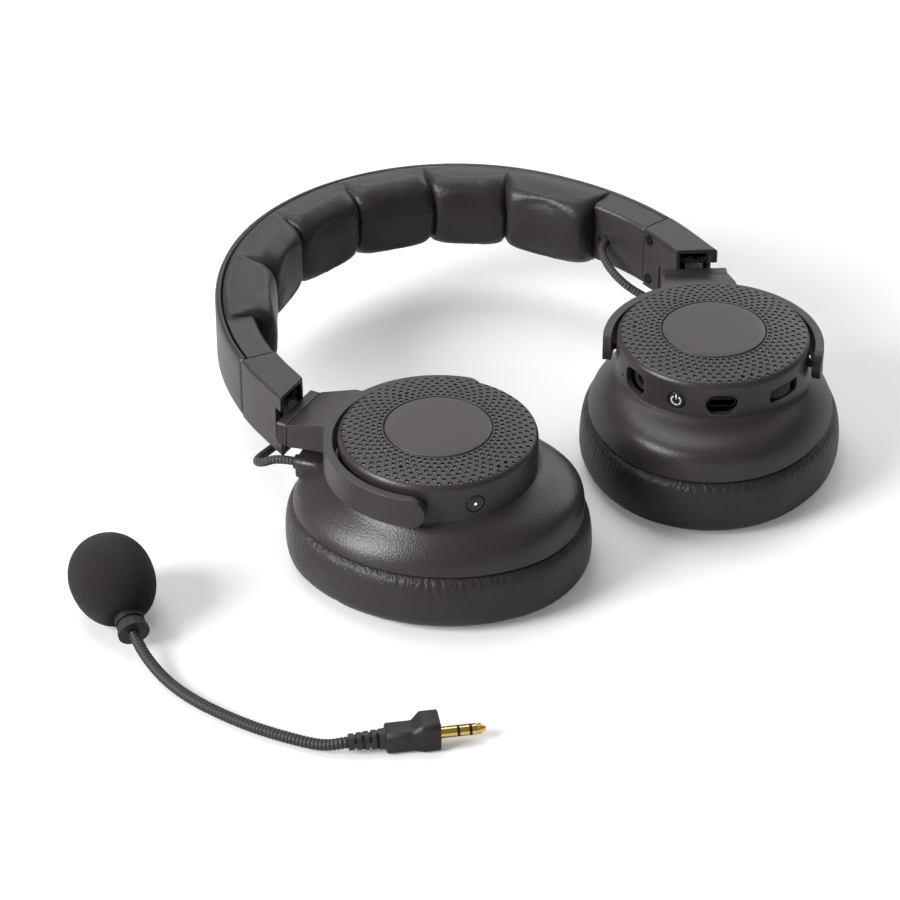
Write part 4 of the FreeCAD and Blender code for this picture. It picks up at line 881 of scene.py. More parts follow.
def simulate_skin(piece, pinned, pressure, spare, cap, bending):
    """Cloth on a copy ten times as large, with pressure inside, pins and spare skin.

    No point moves further than the cap: a move of length m is divided by the root of 1 + (m / cap) squared.
    """
    mesh = piece.data
    before = np.zeros(len(mesh.vertices) * 3)
    mesh.vertices.foreach_get("co", before)
    before = before.reshape(-1, 3)
    middle = before.mean(0)
    mesh.vertices.foreach_set("co", ((before - middle) * CLOTH_SCALE).ravel())
    group = piece.vertex_groups.new(name="sewn")
    group.add(np.flatnonzero(pinned).tolist(), 1.0, "REPLACE")
    cloth = piece.modifiers.new("skin", "CLOTH")
    cloth.settings.vertex_group_mass = "sewn"
    cloth.settings.quality = 5
    cloth.settings.mass = 0.3
    cloth.settings.tension_stiffness = 25
    cloth.settings.compression_stiffness = 25
    cloth.settings.shear_stiffness = 15
    cloth.settings.bending_stiffness = bending
    cloth.settings.shrink_min = -spare
    cloth.settings.use_pressure = True
    cloth.settings.uniform_pressure_force = pressure
    cloth.settings.effector_weights.gravity = 0.0
    cloth.point_cache.frame_start, cloth.point_cache.frame_end = 1, CLOTH_FRAMES
    for step in range(1, CLOTH_FRAMES + 1):
        bpy.context.scene.frame_set(step)
    moved = piece.evaluated_get(bpy.context.evaluated_depsgraph_get()).to_mesh()
    after = np.zeros(len(moved.vertices) * 3)
    moved.vertices.foreach_get("co", after)
    after = after.reshape(-1, 3) / CLOTH_SCALE + middle
    piece.modifiers.clear()
    piece.vertex_groups.clear()
    bpy.context.scene.frame_set(1)
    shift = after - before
    length = np.linalg.norm(shift, axis=1, keepdims=True)
    shift /= np.sqrt(1 + (length / cap) ** 2)
    mesh.vertices.foreach_set("co", (before + shift).ravel())
    mesh.update()
    print("simulated", piece.name, "moved up to %.2f mm" % (length.max() / MM))


def crease_field(angles, seed, waves, low, high):
    """A sum of cosines round the ring with seeded phases, for creases that never repeat evenly."""
    draw = np.random.default_rng(seed)
    number = draw.integers(low, high, waves)[:, None]
    phase = draw.uniform(0, 2 * np.pi, waves)[:, None]
    return np.cos(number * angles[None, :] + phase).sum(0) / np.sqrt(waves)


def make_cushion(side_name, side):
    """Fine gathers fade as a bell curve below the seam, and broad waves fade either side of half height."""
    rings = cushion_rings()
    height = rings[:, 0, 2]
    sewn = np.exp(-((height - GATHER_Z) / GATHER_REACH) ** 2)[:, None]
    sewn[CUSHION_ROWS // 2:] = 0
    gather = crease_field(CUSHION_ANGLES, 11, 16, 90, 190)[None, :] * sewn * GATHER_DEPTH
    waist = np.exp(-((height - BROAD_Z) / BROAD_REACH) ** 2)[:, None]
    broad = crease_field(CUSHION_ANGLES, 5, 7, 5, 16)[None, :] * waist * BROAD_DEPTH
    broad[CUSHION_ROWS // 2:] *= 0.3
    way = rings[..., :2] / np.linalg.norm(rings[..., :2], axis=-1, keepdims=True)
    rings[..., :2] += way * (gather + broad)[..., None]
    sheet = Sheet()
    ids = sheet.add(rings)
    loop = np.concatenate([ids, ids[:1]])
    sheet.loft(loop[::-1])
    piece = make_piece(side_name + "_cushion_skin", sheet, in_cup, side)
    row_number = np.repeat(np.arange(len(rings)), len(CUSHION_ANGLES))
    pinned = (row_number < 2) | (row_number >= CUSHION_ROWS - 1)
    low_points = rings[..., 2].ravel() < 0.6
    simulate_skin(piece, pinned | low_points, pressure=1.2, spare=0.004, cap=0.6 * MM, bending=2.0)
    piece.data.materials.append(cushion_skin)
    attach(piece, side_name + "_cup")
    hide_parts(side_name + "_ear_cushion")
    return piece


cushions = [make_cushion(name, side) for name, side in SIDES.items()]
print("cushions:", [c.name for c in cushions])

# %% [markdown]
# ## The band's arch
# A round top arc meets two flatter side arcs. A heading of zero is the top and ninety is where the
# side runs straight down, so any band piece is a section carried along headings.

# %% Arch, shell and pad sizes
TOP_TURN = np.radians(53.0)
SIDE_R = 106.7
SIDE_X = (BAND_R - SIDE_R) * np.sin(TOP_TURN)
SIDE_Y = (BAND_R - SIDE_R) * np.cos(TOP_TURN)
BAND_Z = 36.75
BAND_HALF = 11.25
SEAM_HEADING = np.radians(83.5)
PAD_HEADING = np.radians(69.45)


def arch(heading, inset, up):
    """A point of the arch: on the top arc up to 53 degrees from the top, and on a side arc beyond."""
    side, turn = np.sign(heading + 1e-12), np.abs(heading)
    on_top = turn <= TOP_TURN
    x = np.where(on_top, (BAND_R - inset) * np.sin(turn), SIDE_X + (SIDE_R - inset) * np.sin(turn))
    y = np.where(on_top, (BAND_R - inset) * np.cos(turn), SIDE_Y + (SIDE_R - inset) * np.cos(turn))
    x, y, up = np.broadcast_arrays(side * x, y, BAND_Z + up)
    return np.stack([x, y, up], -1)


def make_band_shell():
    """A rounded strip, 2.5 by 22.5, carried along the arch from seam to seam."""
    angle = 2 * np.pi * (np.arange(72) + 0.5) / 72
    reach = rounded_outline(angle, 2.5, 2 * BAND_HALF, 1.0)
    turns = np.linspace(-SEAM_HEADING, SEAM_HEADING, 161)
    ease = np.ones(161)
    ease[[0, -1]] = 0.9
    inset = 1.25 - (reach * np.cos(angle))[None, :] * ease[:, None]
    rings = arch(turns[:, None], inset, (reach * np.sin(angle))[None, :])
    piece = make_piece("band_shell", closed_tube(rings[:, ::-1]), placed)
    piece.data.materials.append(satin_case)
    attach(piece, "headband")
    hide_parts("headband_shell")
    return piece


band_shell = make_band_shell()
print("band shell faces:", len(band_shell.data.polygons))

# %% [markdown]
# ### Quilted pad
# Six lobes of leatherette over foam, sewn down at five lines across the inner face. Each lobe
# swells between its sewn lines, and the lines fade as they reach the upper and lower edges. The
# skin is pinned at the lines and along the shell, and the same cloth simulation fills it.

# %% Quilted pad
LOBES = 6
LOBE_ROWS = 26
PAD_HALF_SECTION = ((2.62, 10.3), (3.5, 11.9), (6.0, 12.9), (9.8, 13.5), (14.1, 13.2), (17.6, 11.4),
                    (19.9, 8.2), (20.9, 4.1), (21.1, 0.0))
PAD_HEART = np.array([9.0, 0.0])
PAD_MEAN_R = 82.0
VALLEY_DEPTH, VALLEY_REACH = 2.9, 3.2
THREAD_DEPTH, THREAD_REACH = 0.9, 0.8
RUMPLE_DEPTH, RUMPLE_REACH = 0.08, 4.5
SAG_DEPTH, SAG_UP, SAG_REACH = 0.05, 11.0, 3.2
END_PULL = 0.6
BOW = 0.045


def make_pad():
    """One section is carried along the arch; each sewn line pulls it toward its heart.

    The pull falls off exponentially with the distance from the line, a wide valley and a narrow
    thread line, and it is strongest on the inner face. The lines bow a little along the arch.
    """
    top = np.array(PAD_HALF_SECTION)
    section = smooth_through(np.concatenate([top, (top * [1, -1])[-2::-1]]), 72)
    back = np.stack([np.full(8, 2.62), np.linspace(-10.3, 10.3, 10)[1:-1]], -1)
    section = np.concatenate([section, back])
    inset, up = section.T
    rows = LOBES * LOBE_ROWS + 1
    number = np.arange(rows)
    u = (number % LOBE_ROWS) / LOBE_ROWS
    share = (1 - np.cos(np.pi * u)) / 2
    headings = (number // LOBE_ROWS + share) / LOBES * 2 * PAD_HEADING - PAD_HEADING
    away = np.minimum(share, 1 - share) * 2 * PAD_HEADING / LOBES * PAD_MEAN_R
    hold = np.clip((inset - 4.0) / 9.0, 0, 1)
    hold = hold * hold * (3 - 2 * hold)
    heart = PAD_HEART - section
    heart /= np.linalg.norm(heart, axis=1, keepdims=True)
    pull = VALLEY_DEPTH * np.exp(-away / VALLEY_REACH) + THREAD_DEPTH * np.exp(-(away / THREAD_REACH) ** 2)
    pull = pull[:, None] * (hold * (0.62 + 0.38 * np.abs(inset - 9.0) / 10.4))[None, :]
    shoulder = np.exp(-((np.abs(up) - SAG_UP) / SAG_REACH) ** 2) * hold
    close = np.exp(-away / RUMPLE_REACH)[:, None]
    rumple = crease_field(up * 2.1 + inset * 0.9, 3, 9, 1, 5)[None, :] * close * RUMPLE_DEPTH * hold[None, :]
    sag = crease_field(headings * 30, 8, 10, 2, 9)[:, None] * shoulder[None, :] * SAG_DEPTH
    ends = np.exp(-np.minimum(number, rows - 1 - number) / 1.2)
    pull = pull + rumple + sag + ends[:, None] * (inset > 4)[None, :] * END_PULL
    inset = inset[None, :] + heart[None, :, 0] * pull
    up = up[None, :] + heart[None, :, 1] * pull
    bow = BOW * np.sign(headings) * (1 - (headings / PAD_HEADING) ** 8)
    bow *= np.minimum(np.abs(headings) / 0.2, 1)
    bend = hold * (1 - np.clip(np.abs(up[0]) / 12.9, 0, 1) ** 2)
    headings = headings[:, None] + bow[:, None] * bend[None, :]
    sheet = Sheet()
    ids = sheet.add(arch(headings, inset, up))
    sheet.loft(ids[:, ::-1])
    sheet.cap(ids[0])
    sheet.cap(ids[-1], flip=True)
    piece = make_piece("band_pad", sheet, placed)
    row_number = np.repeat(number, inset.shape[1])
    near_line = np.repeat(away < 0.7, inset.shape[1]) & np.tile(hold > 0.3, rows)
    pinned = near_line | (inset.ravel() < 4.0) | (row_number < 1) | (row_number > rows - 2)
    simulate_skin(piece, pinned, pressure=1.5, spare=0.004, cap=0.6 * MM, bending=4.0)
    piece.data.materials.append(pad_skin)
    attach(piece, "headband")
    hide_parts("headband_pad")
    return piece


pad = make_pad()
print("pad faces:", len(pad.data.polygons))

# %% [markdown]
# ## Leads
# A short braided lead links the band to each cup. It is held at both ends and crosses four
# joints, so it isn't a free cord: it is drawn in four stretches, one for each joint. A NURBS curve
# led by the route's points is the line of the tube.

# %% Lead route and tube
LEAD_R = 1.4
FOLD_PIN = np.array([80.04589, -24.49895, 0.0])
LEAD_ROUTE = np.array((
    (-13.85, 35.5, 34.8), (-16.25, 28.9, 32.2), (-15.25, 20.5, 28.4), (-10.65, 12.7, 24.6),
    (-3.45, 7.7, 22.0), (4.35, 5.9, 20.7), (10.85, 2.7, 21.2), (11.95, -2.9, 23.8),
)) + FOLD_PIN
LEAD_MOUTH = arch(np.radians(72.2), 12.1, 35.4 - BAND_Z)


def boss_point(out):
    """A point out from the strain relief's face, in the band's millimetres."""
    return (in_boss(np.array([-out, 0.0, 0.0])) - ROW) / MM


def nurbs_line(points):
    """Points along a NURBS curve of order 3 that starts and ends on its first and last control points."""
    data = bpy.data.curves.new("route", "CURVE")
    data.dimensions = "3D"
    data.resolution_u = 24
    spline = data.splines.new("NURBS")
    spline.points.add(len(points) - 1)
    spline.points.foreach_set("co", np.concatenate([points, np.ones((len(points), 1))], 1).ravel())
    spline.order_u = 3
    spline.use_endpoint_u = True
    holder = bpy.data.objects.new("route", data)
    line = bpy.data.meshes.new_from_object(holder)
    found = np.zeros(len(line.vertices) * 3)
    line.vertices.foreach_get("co", found)
    bpy.data.objects.remove(holder)
    return found.reshape(-1, 3)


def even_steps(line, step):
    """The same line in equal steps, with its length."""
    run = np.concatenate([[0], np.cumsum(np.linalg.norm(np.diff(line, axis=0), axis=1))])
    at = np.linspace(0, run[-1], int(round(run[-1] / step)) + 1)
    return np.stack([np.interp(at, run, line[:, k]) for k in range(3)], -1), at


def sweep(line, radii, count):
    """Rings square to a line: one axis is level, the other completes it."""
    way = np.gradient(line, axis=0)
    way /= np.linalg.norm(way, axis=1, keepdims=True)
    level = np.cross(np.array([0.0, 0.0, 1.0]), way)
    level /= np.linalg.norm(level, axis=1, keepdims=True)
    high = np.cross(way, level)
    angle = 2 * np.pi * np.arange(count) / count
    radii = np.broadcast_to(np.asarray(radii, float).reshape(len(line), -1), (len(line), count))
    out = np.cos(angle)[None, :, None] * level[:, None, :] + np.sin(angle)[None, :, None] * high[:, None, :]
    return line[:, None, :] + radii[..., None] * out


def set_along_uv(piece, rows, count, at):
    """A UV map whose U goes once round and whose V is the distance along, in millimetres."""
    layer = piece.data.uv_layers.new(name="along")
    loops = np.zeros(len(piece.data.loops), int)
    piece.data.loops.foreach_get("vertex_index", loops)
    u = (loops % count) / count
    starts = np.zeros(len(piece.data.polygons), int)
    piece.data.polygons.foreach_get("loop_start", starts)
    totals = np.zeros(len(piece.data.polygons), int)
    piece.data.polygons.foreach_get("loop_total", totals)
    owner = np.repeat(np.arange(len(starts)), totals)
    wide = np.zeros(len(starts))
    np.maximum.at(wide, owner, u)
    low = np.full(len(starts), 1.0)
    np.minimum.at(low, owner, u)
    u = np.where((wide[owner] - low[owner] > 0.5) & (u < 0.5), u + 1, u)
    v = at[np.minimum(loops // count, rows - 1)]
    layer.data.foreach_set("uv", np.stack([u, v], -1).ravel())


LEAD_COUNT = 24
LEAD_JOINTS = (("headband", "_slider"), ("_slider", "_knuckle"), ("_knuckle", "_yoke_arm"),
               ("_yoke_arm", "_cup"))
LEAD_SPLITS = (0.0, 0.34, 0.60, 0.80, 1.0)
LEAD_INSIDE = np.array([-1.0, 0.6, 0.1]) * 0.9


def make_lead(side_name, side):
    """A tube along the route in half-millimetre steps, cut where one joint's stretch ends."""
    control = np.concatenate([[LEAD_MOUTH - LEAD_INSIDE], LEAD_ROUTE, [boss_point(6.0), boss_point(0.0)]])
    line, at = even_steps(nurbs_line(control), 0.5)
    stops = np.round(np.array(LEAD_SPLITS) * (len(line) - 1)).astype(int)
    rings = sweep(line, np.full(len(line), LEAD_R), LEAD_COUNT)
    pieces = []
    for k, (a, b) in enumerate(LEAD_JOINTS):
        part = slice(stops[k], stops[k + 1] + 1)
        piece = make_piece("%s_lead_%d" % (side_name, k + 1), closed_tube(rings[part]), placed, side)
        set_along_uv(piece, stops[k + 1] + 1 - stops[k], LEAD_COUNT, at[part])
        piece.data.materials.append(nylon_braid)
        a, b = (name if name == "headband" else side_name + name for name in (a, b))
        start, end = placed(line[stops[k]], side), placed(line[stops[k + 1]], side)
        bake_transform(piece)
        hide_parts(side_name + "_lead")
        pieces.append(piece)
    print(side_name, "lead is %.1f mm long" % at[-1])
    return pieces


leads = [piece for name, side in SIDES.items() for piece in make_lead(name, side)]
print("lead stretches:", len(leads))

# %% [markdown]
# ## Boom microphone
# The boom is unplugged and lies beside the headset. Its gooseneck is a ribbed rubber tube over a
# wire that keeps its bend, so it follows one smooth line.

# %% Gooseneck
PLUG_TURN = np.radians(-23.0)
PLUG_AT = np.array([-119.1, -147.1, 3.9])
MIC_AT = np.array([-159.3, -65.4, 7.0])
MIC_TURN, MIC_RISE = np.radians(77.0), np.radians(14.0)
NECK_ROUTE = ((-133.4, -140.3, 3.1), (-140.3, -132.3, 2.3), (-147.4, -121.0, 2.1), (-153.6, -108.0, 2.1),
              (-158.0, -94.5, 2.2), (-160.0, -80.5, 3.2))
BOOT_LENGTH = 11.0
NECK_R, NECK_RIB, NECK_PITCH = 1.8, 0.17, 1.2


def fair_curve(points, first_way, last_way, count):
    """The cubic spline through the points, with given end directions.

    Its slopes solve one row of equations for each point, which makes the bend run on evenly there.
    """
    points = np.asarray(points, float)
    run = np.concatenate([[0], np.cumsum(np.linalg.norm(np.diff(points, axis=0), axis=1))])
    h = np.diff(run)[:, None]
    n = len(points)
    system = np.eye(n)
    right = np.zeros((n, 3))
    right[0], right[-1] = first_way, last_way
    for k in range(1, n - 1):
        a, b = h[k - 1, 0], h[k, 0]
        system[k, k - 1:k + 2] = b, 2 * (a + b), a
        right[k] = 3 * (b * (points[k] - points[k - 1]) / a + a * (points[k + 1] - points[k]) / b)
    slope = np.linalg.solve(system, right)
    t = np.linspace(0, run[-1], count)
    i = np.minimum(np.searchsorted(run, t, side="right") - 1, n - 2)
    s = ((t - run[i]) / h[i, 0])[:, None]
    return ((1 + 2 * s) * (1 - s) ** 2 * points[i] + s * (1 - s) ** 2 * h[i] * slope[i]
            + s ** 2 * (3 - 2 * s) * points[i + 1] + s ** 2 * (s - 1) * h[i] * slope[i + 1])


boot_way = np.array([np.cos(PLUG_TURN), np.sin(PLUG_TURN), 0.0])
mic_way = np.array([np.cos(MIC_TURN) * np.cos(MIC_RISE), np.sin(MIC_TURN) * np.cos(MIC_RISE),
                    np.sin(MIC_RISE)])


def make_gooseneck():
    """A tube whose radius dips by the ribs' depth along a clipped sine of the distance."""
    start = PLUG_AT - boot_way * (BOOT_LENGTH + 0.1)
    line = fair_curve([start, *NECK_ROUTE, MIC_AT], -boot_way, mic_way, 1500)
    line = np.concatenate([[start + boot_way * 2.0], line, [MIC_AT + mic_way * 1.0]])
    line, at = even_steps(line, NECK_PITCH / 8)
    swell = np.clip(np.sin(2 * np.pi * at / NECK_PITCH) * 1.6, -1, 1) * 0.5 + 0.5
    rings = sweep(line, NECK_R - NECK_RIB * (1 - swell), 28)
    piece = make_piece("gooseneck_tube", closed_tube(rings), placed)
    piece.data.materials.append(soft_rubber)
    tuple(placed(line[int(len(line) * 0.15)]))
    tuple(placed(line[int(len(line) * 0.85)]))
    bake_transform(piece)
    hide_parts("gooseneck")
    print("gooseneck %.1f mm, %d ribs" % (at[-1], at[-1] / NECK_PITCH))
    return piece


gooseneck = make_gooseneck()
print("gooseneck faces:", len(gooseneck.data.polygons))

# %% [markdown]
# ### Windscreen
# The foam windscreen is an egg of open-cell foam, a little flat where it rests on the table and
# pinched in where its mouth grips the capsule housing.

# %% Foam windscreen
FOAM_AT = np.array([-155.4, -44.8, 12.8])
FOAM_R, FOAM_HALF = 13.3, 17.2
EGG = 0.07
MOUTH_PINCH = 1.9


def make_foam():
    """Rings about the foam's long axis; the radius is an ellipse's, fuller at the free end, as an egg's."""
    along = -FOAM_HALF * np.cos(np.linspace(0.06, np.pi - 0.06, 72))
    radius = FOAM_R * (1 - np.abs(along / FOAM_HALF) ** 2.2) ** (1 / 2.1)
    radius = (radius * (1 + EGG * along / FOAM_HALF))[:, None]
    angle = 2 * np.pi * np.arange(96) / 96
    rings = np.stack([along[:, None] + 0 * angle, radius * np.cos(angle), radius * np.sin(angle)], -1)
    points = turned(rings, MIC_TURN) + FOAM_AT
    base = MIC_AT + mic_way * 8.0
    off = points - base
    beside = np.linalg.norm(off - (off @ mic_way)[..., None] * mic_way, axis=-1)
    near = (off @ mic_way) < 6
    points += mic_way * (MOUTH_PINCH * np.exp(-((beside - 3.0) / 3.6) ** 2) * near)[..., None]
    draw = crease_field(angle, 21, 5, 1, 4)[None, :] * 0.12
    points[..., 2] = np.maximum(points[..., 2] + draw, 0.03)
    piece = make_piece("foam_windscreen", closed_tube(points), placed)
    piece.data.materials.append(foam_black)
    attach(piece, "microphone")
    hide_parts("mic_foam")
    return piece


foam = make_foam()
print("foam faces:", len(foam.data.polygons))

# %% [markdown]
# ### Plug body
# The plug's body is a rounded bar. A slanted shoulder lifts it to a taller, wider end that fits
# the jack one way round.

# %% Plug body


def in_plug(points, side=1):
    """From a frame with +X to the plug's pin, its origin where the boot meets the body."""
    return placed(turned(points, PLUG_TURN) + PLUG_AT, side)


def make_plug_body():
    """Stations from the boot's end, over the slanted shoulder, to the end that meets the jack."""
    stations = [(-0.05, 6.6, 6.4, 2.0, 0), (0.05, 7.4, 7.2, 2.2, 0), (0.4, 8.0, 7.8, 2.3, 0),
                (7.4, 8.0, 7.8, 2.3, 0), (8.2, 8.1, 7.9, 2.3, 0.05), (10.2, 9.1, 9.8, 2.0, 1.0),
                (10.8, 9.4, 10.1, 1.8, 1.15), (15.8, 9.4, 10.1, 1.8, 1.15), (16.1, 9.1, 9.8, 1.8, 1.15),
                (16.2, 8.6, 9.3, 1.6, 1.15)]
    piece = make_piece("plug_moulding", closed_tube(rounded_bar_rings(stations, 96)), in_plug)
    piece.data.materials.append(plug_plastic)
    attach(piece, "boom")
    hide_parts("plug_body")
    return piece


plug_body = make_plug_body()
print("plug body faces:", len(plug_body.data.polygons))

# %% [markdown]
# ## Controls
# Two round buttons and a knurled wheel look out of the drum. The power button carries the general
# sign for power, printed in white, and the mute button a small status light.

# %% Buttons


def in_port(angle):
    """Places points from a frame with +X out of the drum at a port's angle."""
    def place(points, side=1):
        return in_cup(turned(points, np.radians(angle)) + np.array([0, 0, PORT_Z]), side)
    return place


def along_x(rings):
    """Rings about the vertical axis, turned to lie about X."""
    return rings[..., [2, 0, 1]]


BUTTON_FACE = DRUM_R - 0.05


def make_button(name, node, angle, side, material):
    """A profile from the foot up, over the rounded rim and into the slightly sunk face, turned round."""
    face = BUTTON_FACE
    profile = [(2.85, face - 4.0), (2.85, face - 0.4), (2.78, face - 0.15), (2.6, face - 0.02),
               (2.35, face), (2.2, face - 0.06), (0.1, face - 0.06)]
    button = make_piece(name, closed_tube(along_x(turned_rings(profile, 72))), in_port(angle), side)
    button.data.materials.append(material)
    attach(button, node)
    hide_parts(node)
    return button


def arc_band(radius, width, start, stop):
    """The outline of a band along an arc: out along its outer edge and back along its inner one."""
    turn = np.radians(np.linspace(start, stop, 40))
    edge = np.stack([np.cos(turn), np.sin(turn)], -1)
    return np.concatenate([edge * (radius + width / 2), (edge * (radius - width / 2))[::-1]])


def solid_mark(name, outline, angle, side, node, material):
    """A small flat mark with a thin edge, from its outline of (across, up)."""
    face = BUTTON_FACE + 0.01
    ring = np.stack([0 * outline[:, 0] + face, outline[:, 0], outline[:, 1]], -1)
    mark = make_piece(name, closed_tube(np.stack([ring - [0.08, 0, 0], ring])), in_port(angle), side)
    mark.data.materials.append(material)
    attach(mark, node)
    return mark


power = make_button("power_cap", "power_button", POWER_ANGLE, 1, button_cap)
mute = make_button("mute_cap", "mute_button", MUTE_ANGLE, -1, satin_case)
ring = arc_band(1.6, 0.46, 122, 418)
bar = np.array([(-0.23, 0.3), (0.23, 0.3), (0.23, 2.15), (-0.23, 2.15)])
round_turn = 2 * np.pi * np.arange(24) / 24
dot = np.stack([np.cos(round_turn), np.sin(round_turn)], -1) * 0.45
solid_mark("power_sign_ring", ring, POWER_ANGLE, 1, "power_button", white_print)
solid_mark("power_sign_bar", bar, POWER_ANGLE, 1, "power_button", white_print)
solid_mark("mute_light", dot, MUTE_ANGLE, -1, "mute_button", white_light)
print("buttons:", power.name, mute.name)

# %% [markdown]
# ## Rigid mouldings from the CAD
# The yokes, hinge housings and end covers already have the right shape. Each visible one is copied,
# its doubled points are merged, flat faces are joined and its edges get a small round, because a
# real moulding has no sharp edge and the light line on it tells the eye how large it is. Two get a
# small change of place: the arm's root is slimmer, and the cover's screws stand out far enough to
# show their heads.

# %% Round the edges of CAD mouldings
RING_MEETS, ARM_STARTS, BARREL_ENDS = 18.9, 6.2, 2.5
ROOT_DROP, ROOT_RISE = 1.5, 1.5


def lowered_arm(points):
    """The arm's root, near its bolt, is slimmer than the CAD's and rises toward the half ring."""
    row = (points - ROW) / MM
    side = np.sign(row[:, 0].mean())
    way = np.array([-np.sin(np.radians(FOLD_REST)) * side, -np.cos(np.radians(FOLD_REST))])
    along = (row[:, :2] - FOLD_PIN[:2] * [side, 1]) @ way
    share = np.clip((RING_MEETS - along) / (RING_MEETS - ARM_STARTS), 0, 1) * (along > BARREL_ENDS)
    row[:, 2] += np.where(row[:, 2] > BAND_Z, -ROOT_DROP, ROOT_RISE) * share
    return row * MM + ROW


def dress(node, body, material, slot, width_mm, reshape):
    """A merged copy of a CAD node with its sharp edges rounded."""
    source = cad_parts[node]
    piece = bpy.data.objects.new(node + "_moulding", source.data.copy())
    bpy.context.scene.collection.objects.link(piece)
    if reshape:
        points = np.zeros(len(piece.data.vertices) * 3)
        piece.data.vertices.foreach_get("co", points)
        piece.data.vertices.foreach_set("co", reshape(points.reshape(-1, 3)).ravel())
    piece.data.polygons.foreach_set("use_smooth", np.full(len(piece.data.polygons), True))
    merge = piece.modifiers.new("merge", "WELD")
    merge.merge_threshold = 1e-6
    join = piece.modifiers.new("join", "DECIMATE")
    join.decimate_type = "DISSOLVE"
    join.angle_limit = np.radians(0.6)
    edge = piece.modifiers.new("edge", "BEVEL")
    edge.width = width_mm * MM
    edge.segments = 3
    edge.limit_method = "ANGLE"
    edge.angle_limit = np.radians(38)
    edge.use_clamp_overlap = False
    even = piece.modifiers.new("even", "WEIGHTED_NORMAL")
    even.weight = 60
    flat = bpy.data.meshes.new_from_object(piece.evaluated_get(bpy.context.evaluated_depsgraph_get()))
    piece.modifiers.clear()
    piece.data = flat
    flat.materials.clear()
    flat.materials.append(material)
    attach(piece, body)
    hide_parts(node)
    return piece


SCREW_TILT, SCREW_PROUD = np.pi / 2 - SEAM_HEADING, 0.28


def proud_screws(points):
    """Each point moved a little against the way the screws go in, so that their heads show."""
    side = np.sign(points[:, 0].mean() - ROW[0])
    return points - np.array([side * np.cos(SCREW_TILT), np.sin(SCREW_TILT), 0]) * SCREW_PROUD * MM


# Each moulding's body, material, slot, edge round in millimetres and change of place.
MOULDINGS = {
    "yoke": ("yoke_arm", satin_case, "satin_case", 0.2, lowered_arm),
    "hinge_housing": ("slider", satin_case, "satin_case", 0.25, None),
    "end_cover": ("headband", satin_case, "satin_case", 0.25, None),
    "hinge_knuckle": ("knuckle", satin_case, "satin_case", 0.08, lowered_arm),
    "hinge_bracket": ("slider", dark_nylon, "dark_case", 0.12, None),
    "housing_screws": ("slider", black_steel, "black_metal", 0.05, proud_screws),
}
dressed = []
for side_name in SIDES:
    for node, (body, *settings) in MOULDINGS.items():
        body = body if body == "headband" else side_name + "_" + body
        dressed.append(dress(side_name + "_" + node, body, *settings))
print("dressed:", len(dressed))

# %% [markdown]
# ## CAD pieces that stay
# The rest keep the CAD's own mesh and only get a finish, the hidden ones too.

# %% Finishes for the remaining CAD nodes
STAYS = {
    "housing_cover": satin_case, "headband_spring": spring_steel, "slider_strip": spring_steel,
    "fold_pin": black_steel, "swivel_bolt": black_steel, "pivot_pins": black_steel,
    "baffle": dark_nylon, "driver": dark_nylon, "cushion_ring": dark_nylon, "scrim": driver_mesh,
    "circuit_board": board_mask, "strain_relief": soft_rubber, "boom_jack": dark_nylon,
    "usb_port": port_steel, "battery": cell_foil, "volume_wheel": dark_nylon,
    "plug_contacts": gold_plate, "plug_insulators": black_plug_ring, "boom_boot": soft_rubber,
    "mic_housing": plug_plastic, "mic_capsule": port_steel,
}
finished = 0
for name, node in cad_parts.items():
    side_name, _, rest = name.partition("_")
    key = rest if side_name in SIDES else name
    if key in STAYS:
        node.data.materials.clear()
        node.data.materials.append(STAYS[key])
        finished += 1
print("finished CAD nodes:", finished)

# %% [markdown]
# ## Table, light and finish
# A white table runs on out of view under a faint white world. A soft disk of light from the left
# is the key, a large one hangs overhead, a white panel behind draws the pale line on the far
# edges, and a weak one fills from the right. The table is paler to the camera than to the lamps'
# bounces, which keeps the shadows and leaves the far floor white.

# %% Table and light


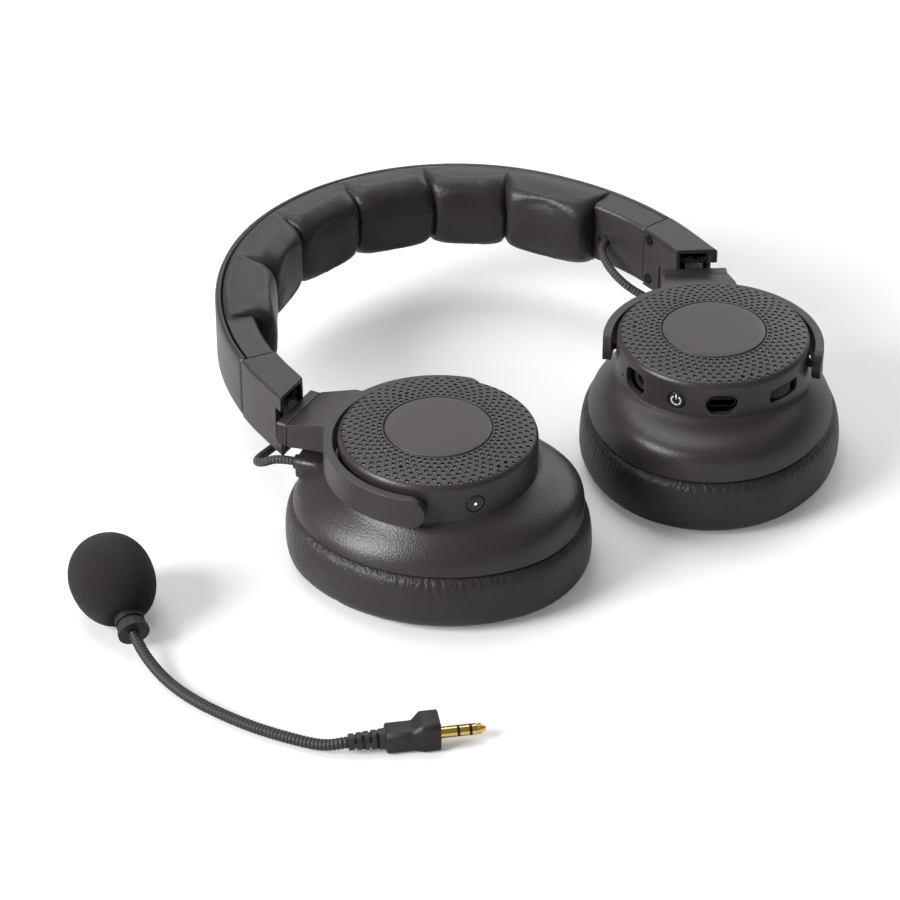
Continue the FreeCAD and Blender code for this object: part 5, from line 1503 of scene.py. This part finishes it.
def make_table():
    """One square at the height of the cushions' feet."""
    sheet = Sheet()
    reach = 6.0
    ids = sheet.add([[(-reach, -reach, 0), (reach, -reach, 0)], [(-reach, reach, 0), (reach, reach, 0)]])
    sheet.loft(ids, closed=False)
    table = make_piece("table", sheet, lambda points, side: points)
    material, tree, shader = finish_material("white_table_card", Roughness=0.9)
    shader.inputs["Specular IOR Level"].default_value = 0.0
    path = add_node(tree, "ShaderNodeLightPath")
    shown = add_node(tree, "ShaderNodeMath",
                     {0: path.outputs["Is Glossy Ray"], 1: 0.6, 2: path.outputs["Is Camera Ray"]},
                     operation="MULTIPLY_ADD")
    tinted(tree, shader, shown.outputs[0], "#a8a8a8", "#f9f9f9")
    seen = add_node(tree, "ShaderNodeMath", {0: path.outputs["Is Camera Ray"], 1: 0.14},
                    operation="MULTIPLY")
    shader.inputs["Emission Color"].default_value = (1, 1, 1, 1)
    tree.links.new(seen.outputs[0], shader.inputs["Emission Strength"])
    table.data.materials.append(material)
    return table


def area_light(name, location, target, size, power):
    """A disk of light this wide in metres that looks at its target."""
    data = bpy.data.lights.new(name, "AREA")
    data.shape = "DISK"
    data.size = size
    data.energy = power
    lamp = bpy.data.objects.new(name, data)
    lamp.location = location
    lamp.rotation_euler = (Vector(target) - Vector(location)).to_track_quat("-Z", "Y").to_euler()
    bpy.context.scene.collection.objects.link(lamp)
    return lamp


table = make_table()
lamps = [
    area_light("key_from_left", (-1.6, 0.15, 0.9), (0.0, 0.0, 0.02), 1.0, 40.0),
    area_light("broad_overhead", (0.0, 0.9, 2.0), (0.0, 0.0, 0.0), 1.5, 17.0),
    area_light("white_panel_behind", (1.45, 2.25, 1.5), (0.0, 0.0, 0.0), 2.2, 11.0),
    area_light("fill_from_right", (1.6, 0.7, 0.9), (0.0, 0.0, 0.02), 1.2, 7.0),
]
world = bpy.data.worlds.new("studio")
world.use_nodes = True
world.node_tree.nodes["Background"].inputs[0].default_value = linear("#ffffff")
world.node_tree.nodes["Background"].inputs[1].default_value = 0.22
bpy.context.scene.world = world
bpy.context.scene.view_settings.view_transform = "Standard"
print("on stage:", table.name, [lamp.name for lamp in lamps])
